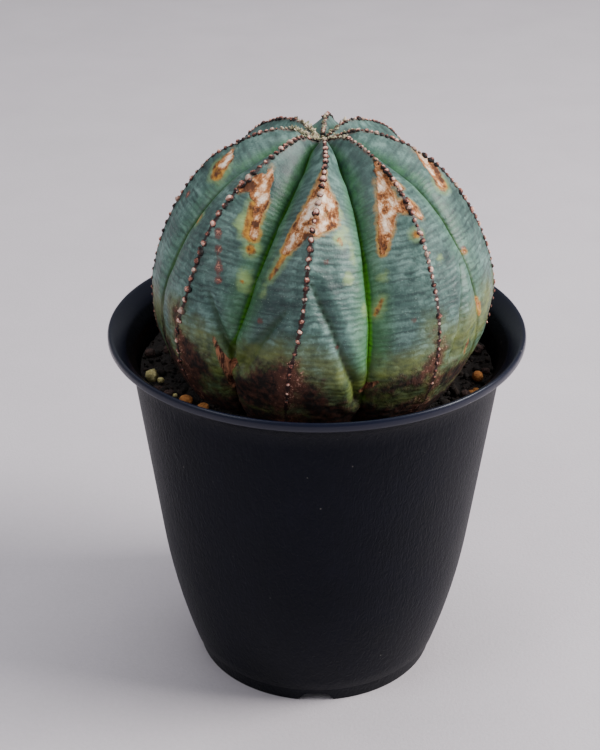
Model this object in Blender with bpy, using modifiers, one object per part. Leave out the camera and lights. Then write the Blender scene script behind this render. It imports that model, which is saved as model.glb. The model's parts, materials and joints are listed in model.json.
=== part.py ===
"""A potted euphorbia: a ribbed, ball-shaped succulent growing in a black nursery pot.

The plant's stem and taproot are one body, because they grew as one. It stands in a potting mix with loose
pumice, baked clay and lava grains lying on top, and the mix fills a thin-walled moulded pot.

Frame: +Z up, with the origin at the centre of the pot's foot, on the ground. -Y is the front.
"""

import math
import random

import bmesh
import bpy
from mathutils import Vector

MM = 0.001

# Overall sizes of the pot.
RIM_RADIUS = 52.5 * MM
POT_HEIGHT = 95.0 * MM
FOOT_RADIUS = 32.0 * MM

# The moulded shell.
WALL = 1.2 * MM
LIP_REACH = 4.6 * MM  # from the body's cone out to the rim's edge
LIP_DEPTH = 2.3 * MM  # height of the rim's outer edge
FLARE_DEPTH = 7.0 * MM  # height over which the wall opens into the rim
BEND_HEIGHT = 38.0 * MM  # below this the wall bends in towards the foot
BEND_DROP = 3.2 * MM  # how far the bend brings the wall inside the cone
FOOT_HEIGHT = 4.8 * MM
FOOT_FLARE = 0.9 * MM  # the foot ring is this much wider at its top
FOOT_LEDGE = 0.56 * MM  # step from the foot ring's top out to the body
FOOT_WALL = 1.8 * MM
FLOOR_HEIGHT = 5.2 * MM  # underside of the raised floor
FLOOR_THICKNESS = 1.3 * MM
FLOOR_FILLET = 1.4 * MM  # bevel between the floor and the wall, inside

# Openings of the shell.
NOTCH_COUNT = 3
NOTCH_BOTTOM_WIDTH = 9.6 * MM
NOTCH_TOP_WIDTH = 5.6 * MM
NOTCH_HEIGHT = 2.7 * MM
CENTRE_HOLE_RADIUS = 7.0 * MM
RING_HOLE_COUNT = 6
RING_HOLE_RADIUS = 4.0 * MM
RING_HOLE_CIRCLE = 19.0 * MM

# The plant.
WATERING_GAP = 3.7 * MM  # mean gap from the widest ribs to the pot's inner cone at the mouth
STEM_OFFSET_X = 1.0 * MM  # the plant stands a little to the right of the pot's centre
# The lines down the plant, each as its azimuth in degrees from the front at the crown, at the widest ring and
# at the soil. A rib's crest comes first and then the groove after it, round the plant.
LINE_AZIMUTHS = (
    (3.0, -9.0, -13.0),
    (20.0, 15.5, 13.0),
    (41.0, 38.0, 35.0),
    (62.0, 63.0, 60.0),
    (84.0, 84.0, 82.0),
    (109.0, 109.0, 107.0),
    (136.0, 134.0, 132.0),
    (155.0, 154.0, 153.0),
    (174.0, 172.0, 171.0),
    (196.0, 197.0, 196.0),
    (222.0, 222.0, 220.0),
    (250.0, 250.0, 249.0),
    (269.0, 274.0, 272.0),
    (295.0, 290.0, 290.0),
    (320.0, 307.0, 310.0),
    (340.0, 328.0, 328.0),
)
GROOVE_DEPTH = 4.6 * MM
CREST_SLOPE = 0.34  # share of the groove's depth that the ribs' flanks fall steadily
GROOVE_POWER = 5.0  # how late the flanks plunge into the groove
# Outline of a rib's crest: radius and height above the pot's rim, as shares of the plant's radius, and the
# groove's depth there as a share of GROOVE_DEPTH. It runs from the dimple in the crown to the root's tip.
CREST_OUTLINE = (
    (0.000, 1.096, 0.00),
    (0.080, 1.138, 0.24),
    (0.210, 1.174, 0.62),
    (0.370, 1.140, 0.96),
    (0.580, 1.035, 1.20),
    (0.730, 0.893, 1.22),
    (0.848, 0.718, 1.14),
    (0.938, 0.521, 1.02),
    (0.991, 0.336, 0.92),
    (1.000, 0.197, 0.84),
    (0.990, 0.046, 0.76),
    (0.944, -0.093, 0.66),
    (0.866, -0.220, 0.54),
    (0.744, -0.347, 0.42),
    (0.570, -0.463, 0.26),
    (0.370, -0.544, 0.12),
    (0.232, -0.613, 0.04),
    (0.162, -0.718, 0.00),
    (0.127, -0.926, 0.00),
    (0.093, -1.157, 0.00),
    (0.052, -1.389, 0.00),
    (0.000, -1.458, 0.00),
)
# The outline's points where the lines have the azimuths that LINE_AZIMUTHS gives.
CROWN_STATION = 3.0
WIDEST_STATION = 9.0
SOIL_STATION = 12.5

# The potting mix and its loose top grains.
SOIL_DROP = 12.0 * MM  # from the rim down to the mix
GRAIN_CLEARANCE = 0.35 * MM
GRAIN_SEED = 11
GRAIN_POINTS = 15  # corners from which each grain's faceted hull is made
GRAIN_TRIES = 900
GRAIN_MOST = 34
GRAIN_SMALLEST = 1.25 * MM
GRAIN_LARGEST = 2.1 * MM
# Grains that lie in plain sight: kind, azimuth in degrees from the front, gap to the wall, radius.
SHOWN_GRAINS = (
    ("pumice", -76.5, 0.5 * MM, 2.15 * MM),
    ("baked_clay", -54.5, 4.4 * MM, 1.8 * MM),
    ("baked_clay", -43.0, 3.8 * MM, 1.5 * MM),
    ("baked_clay", 64.0, 1.5 * MM, 1.5 * MM),
    ("pumice", 55.0, 1.0 * MM, 1.3 * MM),
)
GRAIN_KINDS = ("lava", "baked_clay", "pumice")
GRAIN_SHARES = (5, 3, 1)

# Fineness of the meshes.
POT_STEPS = 56
SOIL_STEPS = 56
COLUMNS_PER_LINE = 4
STEM_RINGS = 38
WALL_LEVELS = 9  # rings of a wall from its bottom to its top
FIT_GAP = 0.3 * MM  # between pieces that touch
MIX_GAP = FIT_GAP + 0.1 * MM  # between the mix and the pot's wall, whose facets differ

LINE_COUNT = len(LINE_AZIMUTHS)
SOIL_HEIGHT = POT_HEIGHT - SOIL_DROP
BODY_TOP_RADIUS = RIM_RADIUS - LIP_REACH
BODY_FOOT_RADIUS = FOOT_RADIUS + FOOT_FLARE + FOOT_LEDGE
BODY_SLOPE = (BODY_TOP_RADIUS - BODY_FOOT_RADIUS - BEND_DROP) / (POT_HEIGHT - FOOT_HEIGHT)

COLOURS = {
    "pot": ((0.012, 0.013, 0.016), 0.45),
    "stem": ((0.13, 0.25, 0.19), 0.6),
    "potting_mix": ((0.035, 0.024, 0.018), 0.95),
    "pumice": ((0.62, 0.55, 0.27), 0.9),
    "baked_clay": ((0.52, 0.24, 0.08), 0.9),
    "lava": ((0.06, 0.035, 0.03), 0.9),
}


def material(name):
    """The Principled material of one kind of piece, made once."""
    made = bpy.data.materials.get(name)
    if made is None:
        made = bpy.data.materials.new(name)
        made.use_nodes = True
        shader = made.node_tree.nodes["Principled BSDF"]
        colour, roughness = COLOURS[name]
        shader.inputs["Base Color"].default_value = (*colour, 1.0)
        shader.inputs["Roughness"].default_value = roughness
        shader.inputs["Metallic"].default_value = 0.0
    return made


def new_collection(name):
    """A collection of that name in the scene."""
    made = bpy.data.collections.new(name)
    bpy.context.scene.collection.children.link(made)
    return made


def add_object(name, mesh, collection, kind):
    """An object that shows the mesh in its kind's material."""
    made = bpy.data.objects.new(name, mesh)
    collection.objects.link(made)
    mesh.materials.append(material(kind))
    return made


def make_cutter(obj):
    """Marks an object as a helper that isn't part of the model."""
    obj.hide_render = True
    obj.display_type = "WIRE"
    return obj


def cut(obj, cutter):
    """Subtracts a cutter from an object."""
    modifier = obj.modifiers.new("cut_" + cutter.name, "BOOLEAN")
    modifier.operation = "DIFFERENCE"
    modifier.solver = "EXACT"
    modifier.object = cutter


def smooth(obj, angle=math.radians(40)):
    """Shades an object smooth, with edges sharper than the angle kept."""
    obj.data.shade_smooth()
    obj.data.set_sharp_from_angle(angle=angle)


def turned(name, profile, steps, collection, kind):
    """A body of revolution about Z from (radius, height) points that run up the outside first."""
    mesh = bpy.data.meshes.new(name)
    shape = bmesh.new()
    corners = [shape.verts.new((radius, 0.0, height)) for radius, height in profile]
    for first, second in zip(corners, corners[1:]):
        shape.edges.new((first, second))
    shape.to_mesh(mesh)
    shape.free()
    made = add_object(name, mesh, collection, kind)
    screw = made.modifiers.new("turn", "SCREW")
    screw.steps = steps
    screw.render_steps = steps
    screw.use_merge_vertices = True
    screw.merge_threshold = 0.00002
    screw.use_smooth_shade = True
    return made


# ---- The pot -------------------------------------------------------------------------------------------


def body_radius(height):
    """Outer radius of the pot's body: a straight cone that bends in towards the foot."""
    cone = BODY_TOP_RADIUS - BODY_SLOPE * (POT_HEIGHT - height)
    below = max(0.0, BEND_HEIGHT - height) / (BEND_HEIGHT - FOOT_HEIGHT)
    return cone - BEND_DROP * below**2


def inner_radius(height):
    """Inner radius of the pot's wall below its flare."""
    return body_radius(height) - WALL


def heights(start, end):
    """Evenly spaced heights from start to end, one for each ring of a wall."""
    return [start + (end - start) * i / WALL_LEVELS for i in range(WALL_LEVELS + 1)]


def pot_profile():
    """The pot's section, from the centre of the floor's top, round the rim, to the floor's underside."""
    top = POT_HEIGHT
    flare = top - FLARE_DEPTH
    floor_top = FLOOR_HEIGHT + FLOOR_THICKNESS
    corner = floor_top + FLOOR_FILLET
    inside = [(0.0, floor_top), (inner_radius(floor_top) - FLOOR_FILLET, floor_top)]
    inside += [(inner_radius(z), z) for z in heights(corner, flare)]
    rim = [
        (inner_radius(flare) + 0.12 * LIP_REACH, top - 0.62 * FLARE_DEPTH),
        (RIM_RADIUS - 0.80 * LIP_REACH, top - 0.36 * FLARE_DEPTH),
        (RIM_RADIUS - 0.52 * LIP_REACH, top - 0.10 * FLARE_DEPTH),
        (RIM_RADIUS - 0.34 * LIP_REACH, top),
        (RIM_RADIUS - 0.10 * LIP_REACH, top - 0.12 * LIP_DEPTH),
        (RIM_RADIUS, top - 0.42 * LIP_DEPTH),
        (RIM_RADIUS - 0.02 * LIP_REACH, top - 0.84 * LIP_DEPTH),
        (RIM_RADIUS - 0.14 * LIP_REACH, top - LIP_DEPTH),
        (RIM_RADIUS - 0.50 * LIP_REACH, top - 1.28 * LIP_DEPTH),
        (RIM_RADIUS - 0.82 * LIP_REACH, top - 2.0 * LIP_DEPTH),
    ]
    outside = [(body_radius(z), z) for z in heights(flare, FOOT_HEIGHT)]
    foot = [
        (FOOT_RADIUS + FOOT_FLARE, FOOT_HEIGHT - 0.5 * MM),
        (FOOT_RADIUS, 0.3 * MM),
        (FOOT_RADIUS - 0.3 * MM, 0.0),
        (FOOT_RADIUS - FOOT_WALL, 0.0),
        (FOOT_RADIUS - FOOT_WALL, FLOOR_HEIGHT),
        (0.0, FLOOR_HEIGHT),
    ]
    return list(reversed(inside + rim + outside + foot))


def notch_cutter(number, collection):
    """A trapezoidal bar that cuts one drain notch through the foot ring."""
    azimuth = 2 * math.pi * number / NOTCH_COUNT
    direction = Vector((math.sin(azimuth), -math.cos(azimuth), 0.0))
    side = Vector((math.cos(azimuth), math.sin(azimuth), 0.0))
    below = 1.0 * MM
    slope = (NOTCH_BOTTOM_WIDTH - NOTCH_TOP_WIDTH) / 2 / NOTCH_HEIGHT
    mesh = bpy.data.meshes.new("notch_cutter")
    shape = bmesh.new()
    bmesh.ops.create_cube(shape, size=1.0)
    for corner in shape.verts:
        along = FOOT_RADIUS + corner.co.x * 4 * FOOT_WALL
        low = corner.co.z < 0
        half = NOTCH_BOTTOM_WIDTH / 2 + slope * below if low else NOTCH_TOP_WIDTH / 2
        across = math.copysign(half, corner.co.y)
        corner.co = direction * along + side * across
        corner.co.z = -below if low else NOTCH_HEIGHT
    shape.to_mesh(mesh)
    shape.free()
    made = bpy.data.objects.new(f"notch_cutter_{number + 1}", mesh)
    collection.objects.link(made)
    return make_cutter(made)


def hole_cutter(name, radius, centre, collection):
    """A round bar that cuts one drain hole through the floor."""
    mesh = bpy.data.meshes.new(name)
    shape = bmesh.new()
    bmesh.ops.create_cone(
        shape,
        cap_ends=True,
        segments=20,
        radius1=radius,
        radius2=radius,
        depth=6 * FLOOR_THICKNESS,
    )
    shape.to_mesh(mesh)
    shape.free()
    made = bpy.data.objects.new(name, mesh)
    made.location = (centre[0], centre[1], FLOOR_HEIGHT + FLOOR_THICKNESS / 2)
    collection.objects.link(made)
    return make_cutter(made)


def build_pot(parts, cutters):
    """The moulded pot, with its drain notches and drain holes."""
    pot = turned("pot", pot_profile(), POT_STEPS, parts, "pot")
    for number in range(NOTCH_COUNT):
        cut(pot, notch_cutter(number, cutters))
    cut(pot, hole_cutter("centre_hole_cutter", CENTRE_HOLE_RADIUS, (0.0, 0.0), cutters))
    for number in range(RING_HOLE_COUNT):
        angle = 2 * math.pi * (number + 0.5) / RING_HOLE_COUNT
        centre = (RING_HOLE_CIRCLE * math.cos(angle), RING_HOLE_CIRCLE * math.sin(angle))
        cut(pot, hole_cutter(f"ring_hole_cutter_{number + 1}", RING_HOLE_RADIUS, centre, cutters))
    smooth(pot)
    return pot


# ---- The plant -----------------------------------------------------------------------------------------


def plant_radius():
    """Radius of the ribs' crests at their widest."""
    return inner_radius(POT_HEIGHT) - WATERING_GAP


def catmull_rom(before, start, end, after, t):
    """A point of the smooth curve from start to end, and its slope, for one number."""
    a = 2 * start
    b = end - before
    c = 2 * before - 5 * start + 4 * end - after
    d = 3 * start - before - 3 * end + after
    return 0.5 * (a + b * t + c * t * t + d * t**3), 0.5 * (b + 2 * c * t + 3 * d * t * t)


def crest_station(s):
    """Radius, height, outward normal and groove depth of the crest's outline at station s."""
    last = len(CREST_OUTLINE) - 1
    i = min(int(s), last - 1)
    t = s - i
    start, end = CREST_OUTLINE[i], CREST_OUTLINE[i + 1]
    # Past either end the curve goes on as its mirror image in the axis.
    before = CREST_OUTLINE[i - 1] if i else (-end[0], end[1], end[2])
    after = CREST_OUTLINE[i + 2] if i + 2 <= last else (-start[0], start[1], start[2])
    values, slopes = zip(*(catmull_rom(*four, t) for four in zip(before, start, end, after)))
    size = plant_radius()
    tangent = Vector((slopes[0], slopes[1])).normalized()
    return {
        "radius": max(0.0, values[0]) * size,
        "height": POT_HEIGHT + values[1] * size,
        "normal": Vector((-tangent.y, tangent.x)),
        "groove": max(0.0, values[2]) * GROOVE_DEPTH,
    }


def line_azimuth(line, s):
    """Azimuth in radians of a crest or groove line at outline station s, counting on past a full turn."""
    laps, number = divmod(line, LINE_COUNT)
    crown, widest, soil = LINE_AZIMUTHS[number]
    if s < WIDEST_STATION:
        share = max(0.0, (WIDEST_STATION - s) / (WIDEST_STATION - CROWN_STATION))
        azimuth = widest + (crown - widest) * min(1.0, share)
    else:
        share = (s - WIDEST_STATION) / (SOIL_STATION - WIDEST_STATION)
        azimuth = widest + (soil - widest) * min(1.0, share)
    return math.radians(azimuth + 360.0 * laps)


def groove_share(across):
    """Share of the groove's depth at a place across half a rib, from 0 at the crest to 1 in the groove."""
    plunge = 1 - math.sqrt(max(0.0, 1 - across**GROOVE_POWER))
    return CREST_SLOPE * across + (1 - CREST_SLOPE) * plunge


def stem_point(s, turn, swell=0.0):
    """A point of the plant's surface at outline station s and a turn counted in lines, moved out by swell."""
    line = math.floor(turn)
    part = turn - line
    start = line_azimuth(line, s)
    azimuth = start + (line_azimuth(line + 1, s) - start) * part
    across = part if line % 2 == 0 else 1 - part
    station = crest_station(s)
    inwards = station["groove"] * groove_share(across) - swell
    radius = max(0.0, station["radius"] - station["normal"].x * inwards)
    height = station["height"] - station["normal"].y * inwards
    return Vector((STEM_OFFSET_X + radius * math.sin(azimuth), -radius * math.cos(azimuth), height))


def stem_mesh(name, swell):
    """A closed ball whose rings and columns follow the plant's ribs, swollen by a clearance."""
    columns = LINE_COUNT * COLUMNS_PER_LINE
    shape = bmesh.new()
    bmesh.ops.create_uvsphere(shape, u_segments=columns, v_segments=STEM_RINGS, radius=1.0)
    last = len(CREST_OUTLINE) - 1
    for corner in shape.verts:
        polar = math.acos(max(-1.0, min(1.0, corner.co.z)))
        column = round(math.atan2(corner.co.y, corner.co.x) / (2 * math.pi) * columns) % columns
        turn = column / COLUMNS_PER_LINE
        corner.co = stem_point(last * polar / math.pi, turn, swell)
    mesh = bpy.data.meshes.new(name)
    shape.to_mesh(mesh)
    shape.free()
    return mesh


def build_plant(parts):
    """The plant: its ribbed stem and its taproot, one grown body."""
    plant = add_object("euphorbia", stem_mesh("euphorbia", 0.0), parts, "stem")
    smooth(plant, math.radians(60))
    return plant


def plant_reach(height, azimuth):
    """Largest distance of the plant's surface from the pot's axis near a height, in one direction."""
    size = plant_radius()
    share = (height - POT_HEIGHT) / size
    for upper, lower in zip(CREST_OUTLINE, CREST_OUTLINE[1:]):
        if upper[1] >= share >= lower[1] and upper[1] > lower[1]:
            t = (upper[1] - share) / (upper[1] - lower[1])
            radius = (upper[0] + (lower[0] - upper[0]) * t) * size
            return radius + STEM_OFFSET_X * math.sin(azimuth)
    return 0.0


# ---- The potting mix and its grains --------------------------------------------------------------------


def build_mix(parts, cutters):
    """The body of potting mix: it fills the pot up to its level and holds the plant's base and root."""
    low = FLOOR_HEIGHT + FLOOR_THICKNESS + FIT_GAP
    corner = low + FLOOR_FILLET
    profile = [(0.0, low), (inner_radius(low) - MIX_GAP - FLOOR_FILLET, low)]
    profile += [(inner_radius(z) - MIX_GAP, z) for z in heights(corner, SOIL_HEIGHT)]
    profile.append((0.0, SOIL_HEIGHT))
    mix = turned("potting_mix", profile, SOIL_STEPS, parts, "potting_mix")
    cavity = bpy.data.objects.new("root_cavity_cutter", stem_mesh("root_cavity_cutter", FIT_GAP))
    cutters.objects.link(cavity)
    cut(mix, make_cutter(cavity))
    smooth(mix)
    return mix


def grain_mesh(name, radius, source):
    """One faceted grain: the hull of points spread over a slightly flattened ball, resting on its lowest."""
    stretch = [source.uniform(0.82, 1.0) for _ in range(2)] + [source.uniform(0.66, 0.86)]
    shape = bmesh.new()
    for number in range(GRAIN_POINTS):
        # A golden-angle spiral keeps the corners apart, and the noise makes the facets uneven.
        z = 1 - 2 * (number + 0.5) / GRAIN_POINTS
        angle = number * math.pi * (3 - math.sqrt(5)) + source.uniform(-0.35, 0.35)
        ring = math.sqrt(1 - z * z)
        point = Vector((ring * math.cos(angle), ring * math.sin(angle), z)) * source.uniform(0.86, 1.0)
        shape.verts.new([radius * part * share for part, share in zip(point, stretch)])
    hull = bmesh.ops.convex_hull(shape, input=shape.verts)
    bmesh.ops.delete(shape, geom=hull["geom_interior"] + hull["geom_unused"], context="VERTS")
    bmesh.ops.triangulate(shape, faces=shape.faces)
    shape.normal_update()
    bmesh.ops.recalc_face_normals(shape, faces=shape.faces)
    lowest = min(corner.co.z for corner in shape.verts)
    bmesh.ops.translate(shape, verts=shape.verts, vec=(0.0, 0.0, -lowest))
    mesh = bpy.data.meshes.new(name)
    shape.to_mesh(mesh)
    shape.free()
    return mesh


def grain_fits(azimuth, distance, radius, placed):
    """Whether a grain lies clear of the wall, the plant and the grains that are already placed."""
    if distance + radius + GRAIN_CLEARANCE > inner_radius(SOIL_HEIGHT):
        return False
    if distance - radius - GRAIN_CLEARANCE < plant_reach(SOIL_HEIGHT + 2 * radius, azimuth):
        return False
    spot = Vector((distance * math.sin(azimuth), -distance * math.cos(azimuth)))
    return all((spot - other).length > radius + size + GRAIN_CLEARANCE for other, size in placed)


def grain_tries(source):
    """The places to try for grains, as azimuth, distance and radius: those that show, then a scatter."""
    wall = inner_radius(SOIL_HEIGHT)
    tries = [(math.radians(angle), wall - gap - radius, radius) for _, angle, gap, radius in SHOWN_GRAINS]
    for _ in range(GRAIN_TRIES):
        radius = source.uniform(GRAIN_SMALLEST, GRAIN_LARGEST)
        azimuth = source.uniform(0.0, 2 * math.pi)
        nearest = plant_reach(SOIL_HEIGHT + 2 * radius, azimuth)
        tries.append((azimuth, source.uniform(nearest, wall), radius))
    return tries


def build_grains(parts):
    """The loose grains on the mix: the few that show, then a seeded scatter in the rest of the ring."""
    source = random.Random(GRAIN_SEED)
    kinds = [kind for kind, *_ in SHOWN_GRAINS]
    kinds += source.choices(GRAIN_KINDS, GRAIN_SHARES, k=GRAIN_MOST - len(kinds))
    placed = []
    counts = dict.fromkeys(GRAIN_KINDS, 0)
    for azimuth, distance, radius in grain_tries(source):
        if len(placed) == GRAIN_MOST:
            break
        if not grain_fits(azimuth, distance, radius, placed):
            continue
        kind = kinds[len(placed)]
        spot = Vector((distance * math.sin(azimuth), -distance * math.cos(azimuth)))
        placed.append((spot, radius))
        counts[kind] += 1
        name = f"{kind}_grain_{counts[kind]:02d}"
        grain = add_object(name, grain_mesh(name, radius, source), parts, kind)
        grain.location = (spot.x, spot.y, SOIL_HEIGHT + FIT_GAP)
        grain.rotation_euler.z = source.uniform(0.0, 2 * math.pi)


def main():
    """Builds the potted plant in an emptied scene."""
    for obj in list(bpy.data.objects):
        bpy.data.objects.remove(obj, do_unlink=True)
    parts = new_collection("potted_euphorbia")
    cutters = new_collection("cutters")
    build_pot(parts, cutters)
    build_plant(parts)
    build_mix(parts, cutters)
    build_grains(parts)


main()
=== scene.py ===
"""The looks of a potted euphorbia: a ribbed, ball-shaped succulent in a black nursery pot.

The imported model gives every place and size. Each class below makes one kind of piece around it: the plant
with its bumps and dried crown bits, the moulded pot, the crust of potting mix with its crumbs, and the loose
grains.
"""

import json
import logging
import math
from dataclasses import dataclass, field
from enum import Enum
from typing import Any, Iterable, Sequence

import bmesh
import bpy
import numpy as np
from mathutils import Matrix, Vector, noise

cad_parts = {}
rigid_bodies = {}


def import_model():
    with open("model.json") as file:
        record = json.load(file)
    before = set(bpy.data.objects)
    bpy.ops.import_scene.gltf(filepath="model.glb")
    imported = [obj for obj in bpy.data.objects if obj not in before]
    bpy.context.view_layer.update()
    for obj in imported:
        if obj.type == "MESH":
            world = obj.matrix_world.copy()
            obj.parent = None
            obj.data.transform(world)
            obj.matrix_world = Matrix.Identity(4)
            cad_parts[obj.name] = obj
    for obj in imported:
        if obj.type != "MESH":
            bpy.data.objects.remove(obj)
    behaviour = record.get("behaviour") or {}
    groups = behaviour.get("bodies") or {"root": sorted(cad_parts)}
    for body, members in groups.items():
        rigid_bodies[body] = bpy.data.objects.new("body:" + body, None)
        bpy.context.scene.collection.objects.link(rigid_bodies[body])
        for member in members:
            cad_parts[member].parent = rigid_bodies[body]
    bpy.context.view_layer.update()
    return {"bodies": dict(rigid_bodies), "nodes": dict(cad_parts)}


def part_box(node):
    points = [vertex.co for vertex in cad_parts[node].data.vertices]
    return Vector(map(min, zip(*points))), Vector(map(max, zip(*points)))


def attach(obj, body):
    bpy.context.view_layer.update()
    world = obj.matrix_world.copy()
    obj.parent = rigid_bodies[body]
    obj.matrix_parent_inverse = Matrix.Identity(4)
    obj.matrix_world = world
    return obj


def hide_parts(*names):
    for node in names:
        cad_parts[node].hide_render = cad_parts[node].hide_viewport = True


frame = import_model()

logging.basicConfig(level=logging.INFO, format="%(message)s")
log = logging.getLogger("potted_euphorbia")

MM = 0.001
BODY = "root"
MARK_REACH = 9.0  # In millimetres. A mark this far off, or further, counts as none.
Colour = tuple[float, float, float]
Stroke = tuple[tuple[float, float, float], ...]


# ---- Node trees ----------------------------------------------------------------------------------------


def srgb(red: float, green: float, blue: float) -> tuple[float, float, float, float]:
    """Turns a colour on the usual 0 to 255 scale into the linear one that shaders use.

    Args:
        red: Red, 0 to 255.
        green: Green, 0 to 255.
        blue: Blue, 0 to 255.

    Returns:
        The linear colour with an alpha of 1.
    """
    parts = []
    for part in (red, green, blue):
        share = part / 255
        parts.append(share / 12.92 if share <= 0.04045 else ((share + 0.055) / 1.055) ** 2.4)
    return (parts[0], parts[1], parts[2], 1.0)


class Value:
    """A number that varies over a surface: a node's output that Python's operators add Math nodes to."""

    def __init__(self, tree: "Tree", socket: bpy.types.NodeSocket) -> None:
        """Wraps a socket of a tree."""
        self.tree = tree
        self.socket = socket

    def _math(self, operation: str, *others: Any) -> "Value":
        """Adds a Math node of this operation on this value and others."""
        sockets = {index: other for index, other in enumerate((self, *others))}
        return self.tree.value("ShaderNodeMath", {"operation": operation}, sockets)

    def __add__(self, other: Any) -> "Value":
        """This plus another."""
        return self._math("ADD", other)

    def __sub__(self, other: Any) -> "Value":
        """This minus another."""
        return self._math("SUBTRACT", other)

    def __mul__(self, other: Any) -> "Value":
        """This times another."""
        return self._math("MULTIPLY", other)

    def __rsub__(self, other: Any) -> "Value":
        """Another minus this."""
        return self.tree.value("ShaderNodeMath", {"operation": "SUBTRACT"}, {0: other, 1: self})

    __radd__ = __add__
    __rmul__ = __mul__

    def least(self, other: Any) -> "Value":
        """The lower of this and another."""
        return self._math("MINIMUM", other)

    def most(self, other: Any) -> "Value":
        """The higher of this and another."""
        return self._math("MAXIMUM", other)

    def waves(self) -> "Value":
        """A wave of this value, which counts whole waves, from 0 to 1."""
        return (self * math.tau)._math("SINE") * 0.5 + 0.5

    def rise(self, low: float, high: float) -> "Value":
        """A smooth step of this value.

        Args:
            low: The value at which the step starts, from 0.
            high: The value at which it reaches 1. It may be under low, for a falling step.

        Returns:
            The step, from 0 to 1.
        """
        settings = {"interpolation_type": "SMOOTHSTEP"}
        sockets = {"Value": self, "From Min": low, "From Max": high}
        if high < low:
            sockets = {"Value": self, "From Min": high, "From Max": low, "To Min": 1.0, "To Max": 0.0}
        return self.tree.value("ShaderNodeMapRange", settings, sockets)


class Tree:
    """A node tree that is built by one method for every kind of node."""

    def __init__(self, nodes: bpy.types.NodeTree) -> None:
        """Wraps an empty node tree."""
        self.nodes = nodes

    def feed(self, target: bpy.types.NodeSocket, given: Any) -> None:
        """Gives an input a plain value, or links a Value or another socket to it.

        Args:
            target: The input.
            given: What it gets.
        """
        given = given.socket if isinstance(given, Value) else given
        if isinstance(given, bpy.types.NodeSocket):
            self.nodes.links.new(given, target)
        else:
            target.default_value = given

    def add(self, kind: str, settings: dict | None = None, sockets: dict | None = None) -> Any:
        """Adds a node.

        Args:
            kind: The node's type.
            settings: The node's properties, which are set first. A ramp's stops go under "stops".
            sockets: What each input gets, by name or index: a plain value, a Value, or a socket to link.

        Returns:
            The node.
        """
        made = self.nodes.nodes.new(kind)
        for name, setting in (settings or {}).items():
            if name == "stops":
                self._set_stops(made.color_ramp, setting)
            else:
                setattr(made, name, setting)
        for key, given in (sockets or {}).items():
            if isinstance(key, int):
                self.feed(made.inputs[key], given)
            else:
                self.feed(next(s for s in made.inputs if s.name == key and s.enabled), given)
        return made

    @staticmethod
    def _set_stops(ramp: bpy.types.ColorRamp, stops: Sequence[tuple[float, Any]]) -> None:
        """Gives a colour ramp its stops, as positions and colours.

        Args:
            ramp: The ramp.
            stops: Each stop's position and linear colour.
        """
        while len(ramp.elements) > 1:
            ramp.elements.remove(ramp.elements[-1])
        for number, (position, colour) in enumerate(stops):
            element = ramp.elements[0] if number == 0 else ramp.elements.new(position)
            element.position = position
            element.color = colour

    def out(self, kind: str, settings: dict | None, sockets: dict | None, name: Any = 0) -> Any:
        """Adds a node and returns one output's socket, by name or index."""
        return self.add(kind, settings, sockets).outputs[name]

    def value(self, kind: str, settings: dict | None, sockets: dict | None, name: Any = 0) -> Value:
        """Adds a node and returns one output as a Value."""
        return Value(self, self.out(kind, settings, sockets, name))


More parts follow.
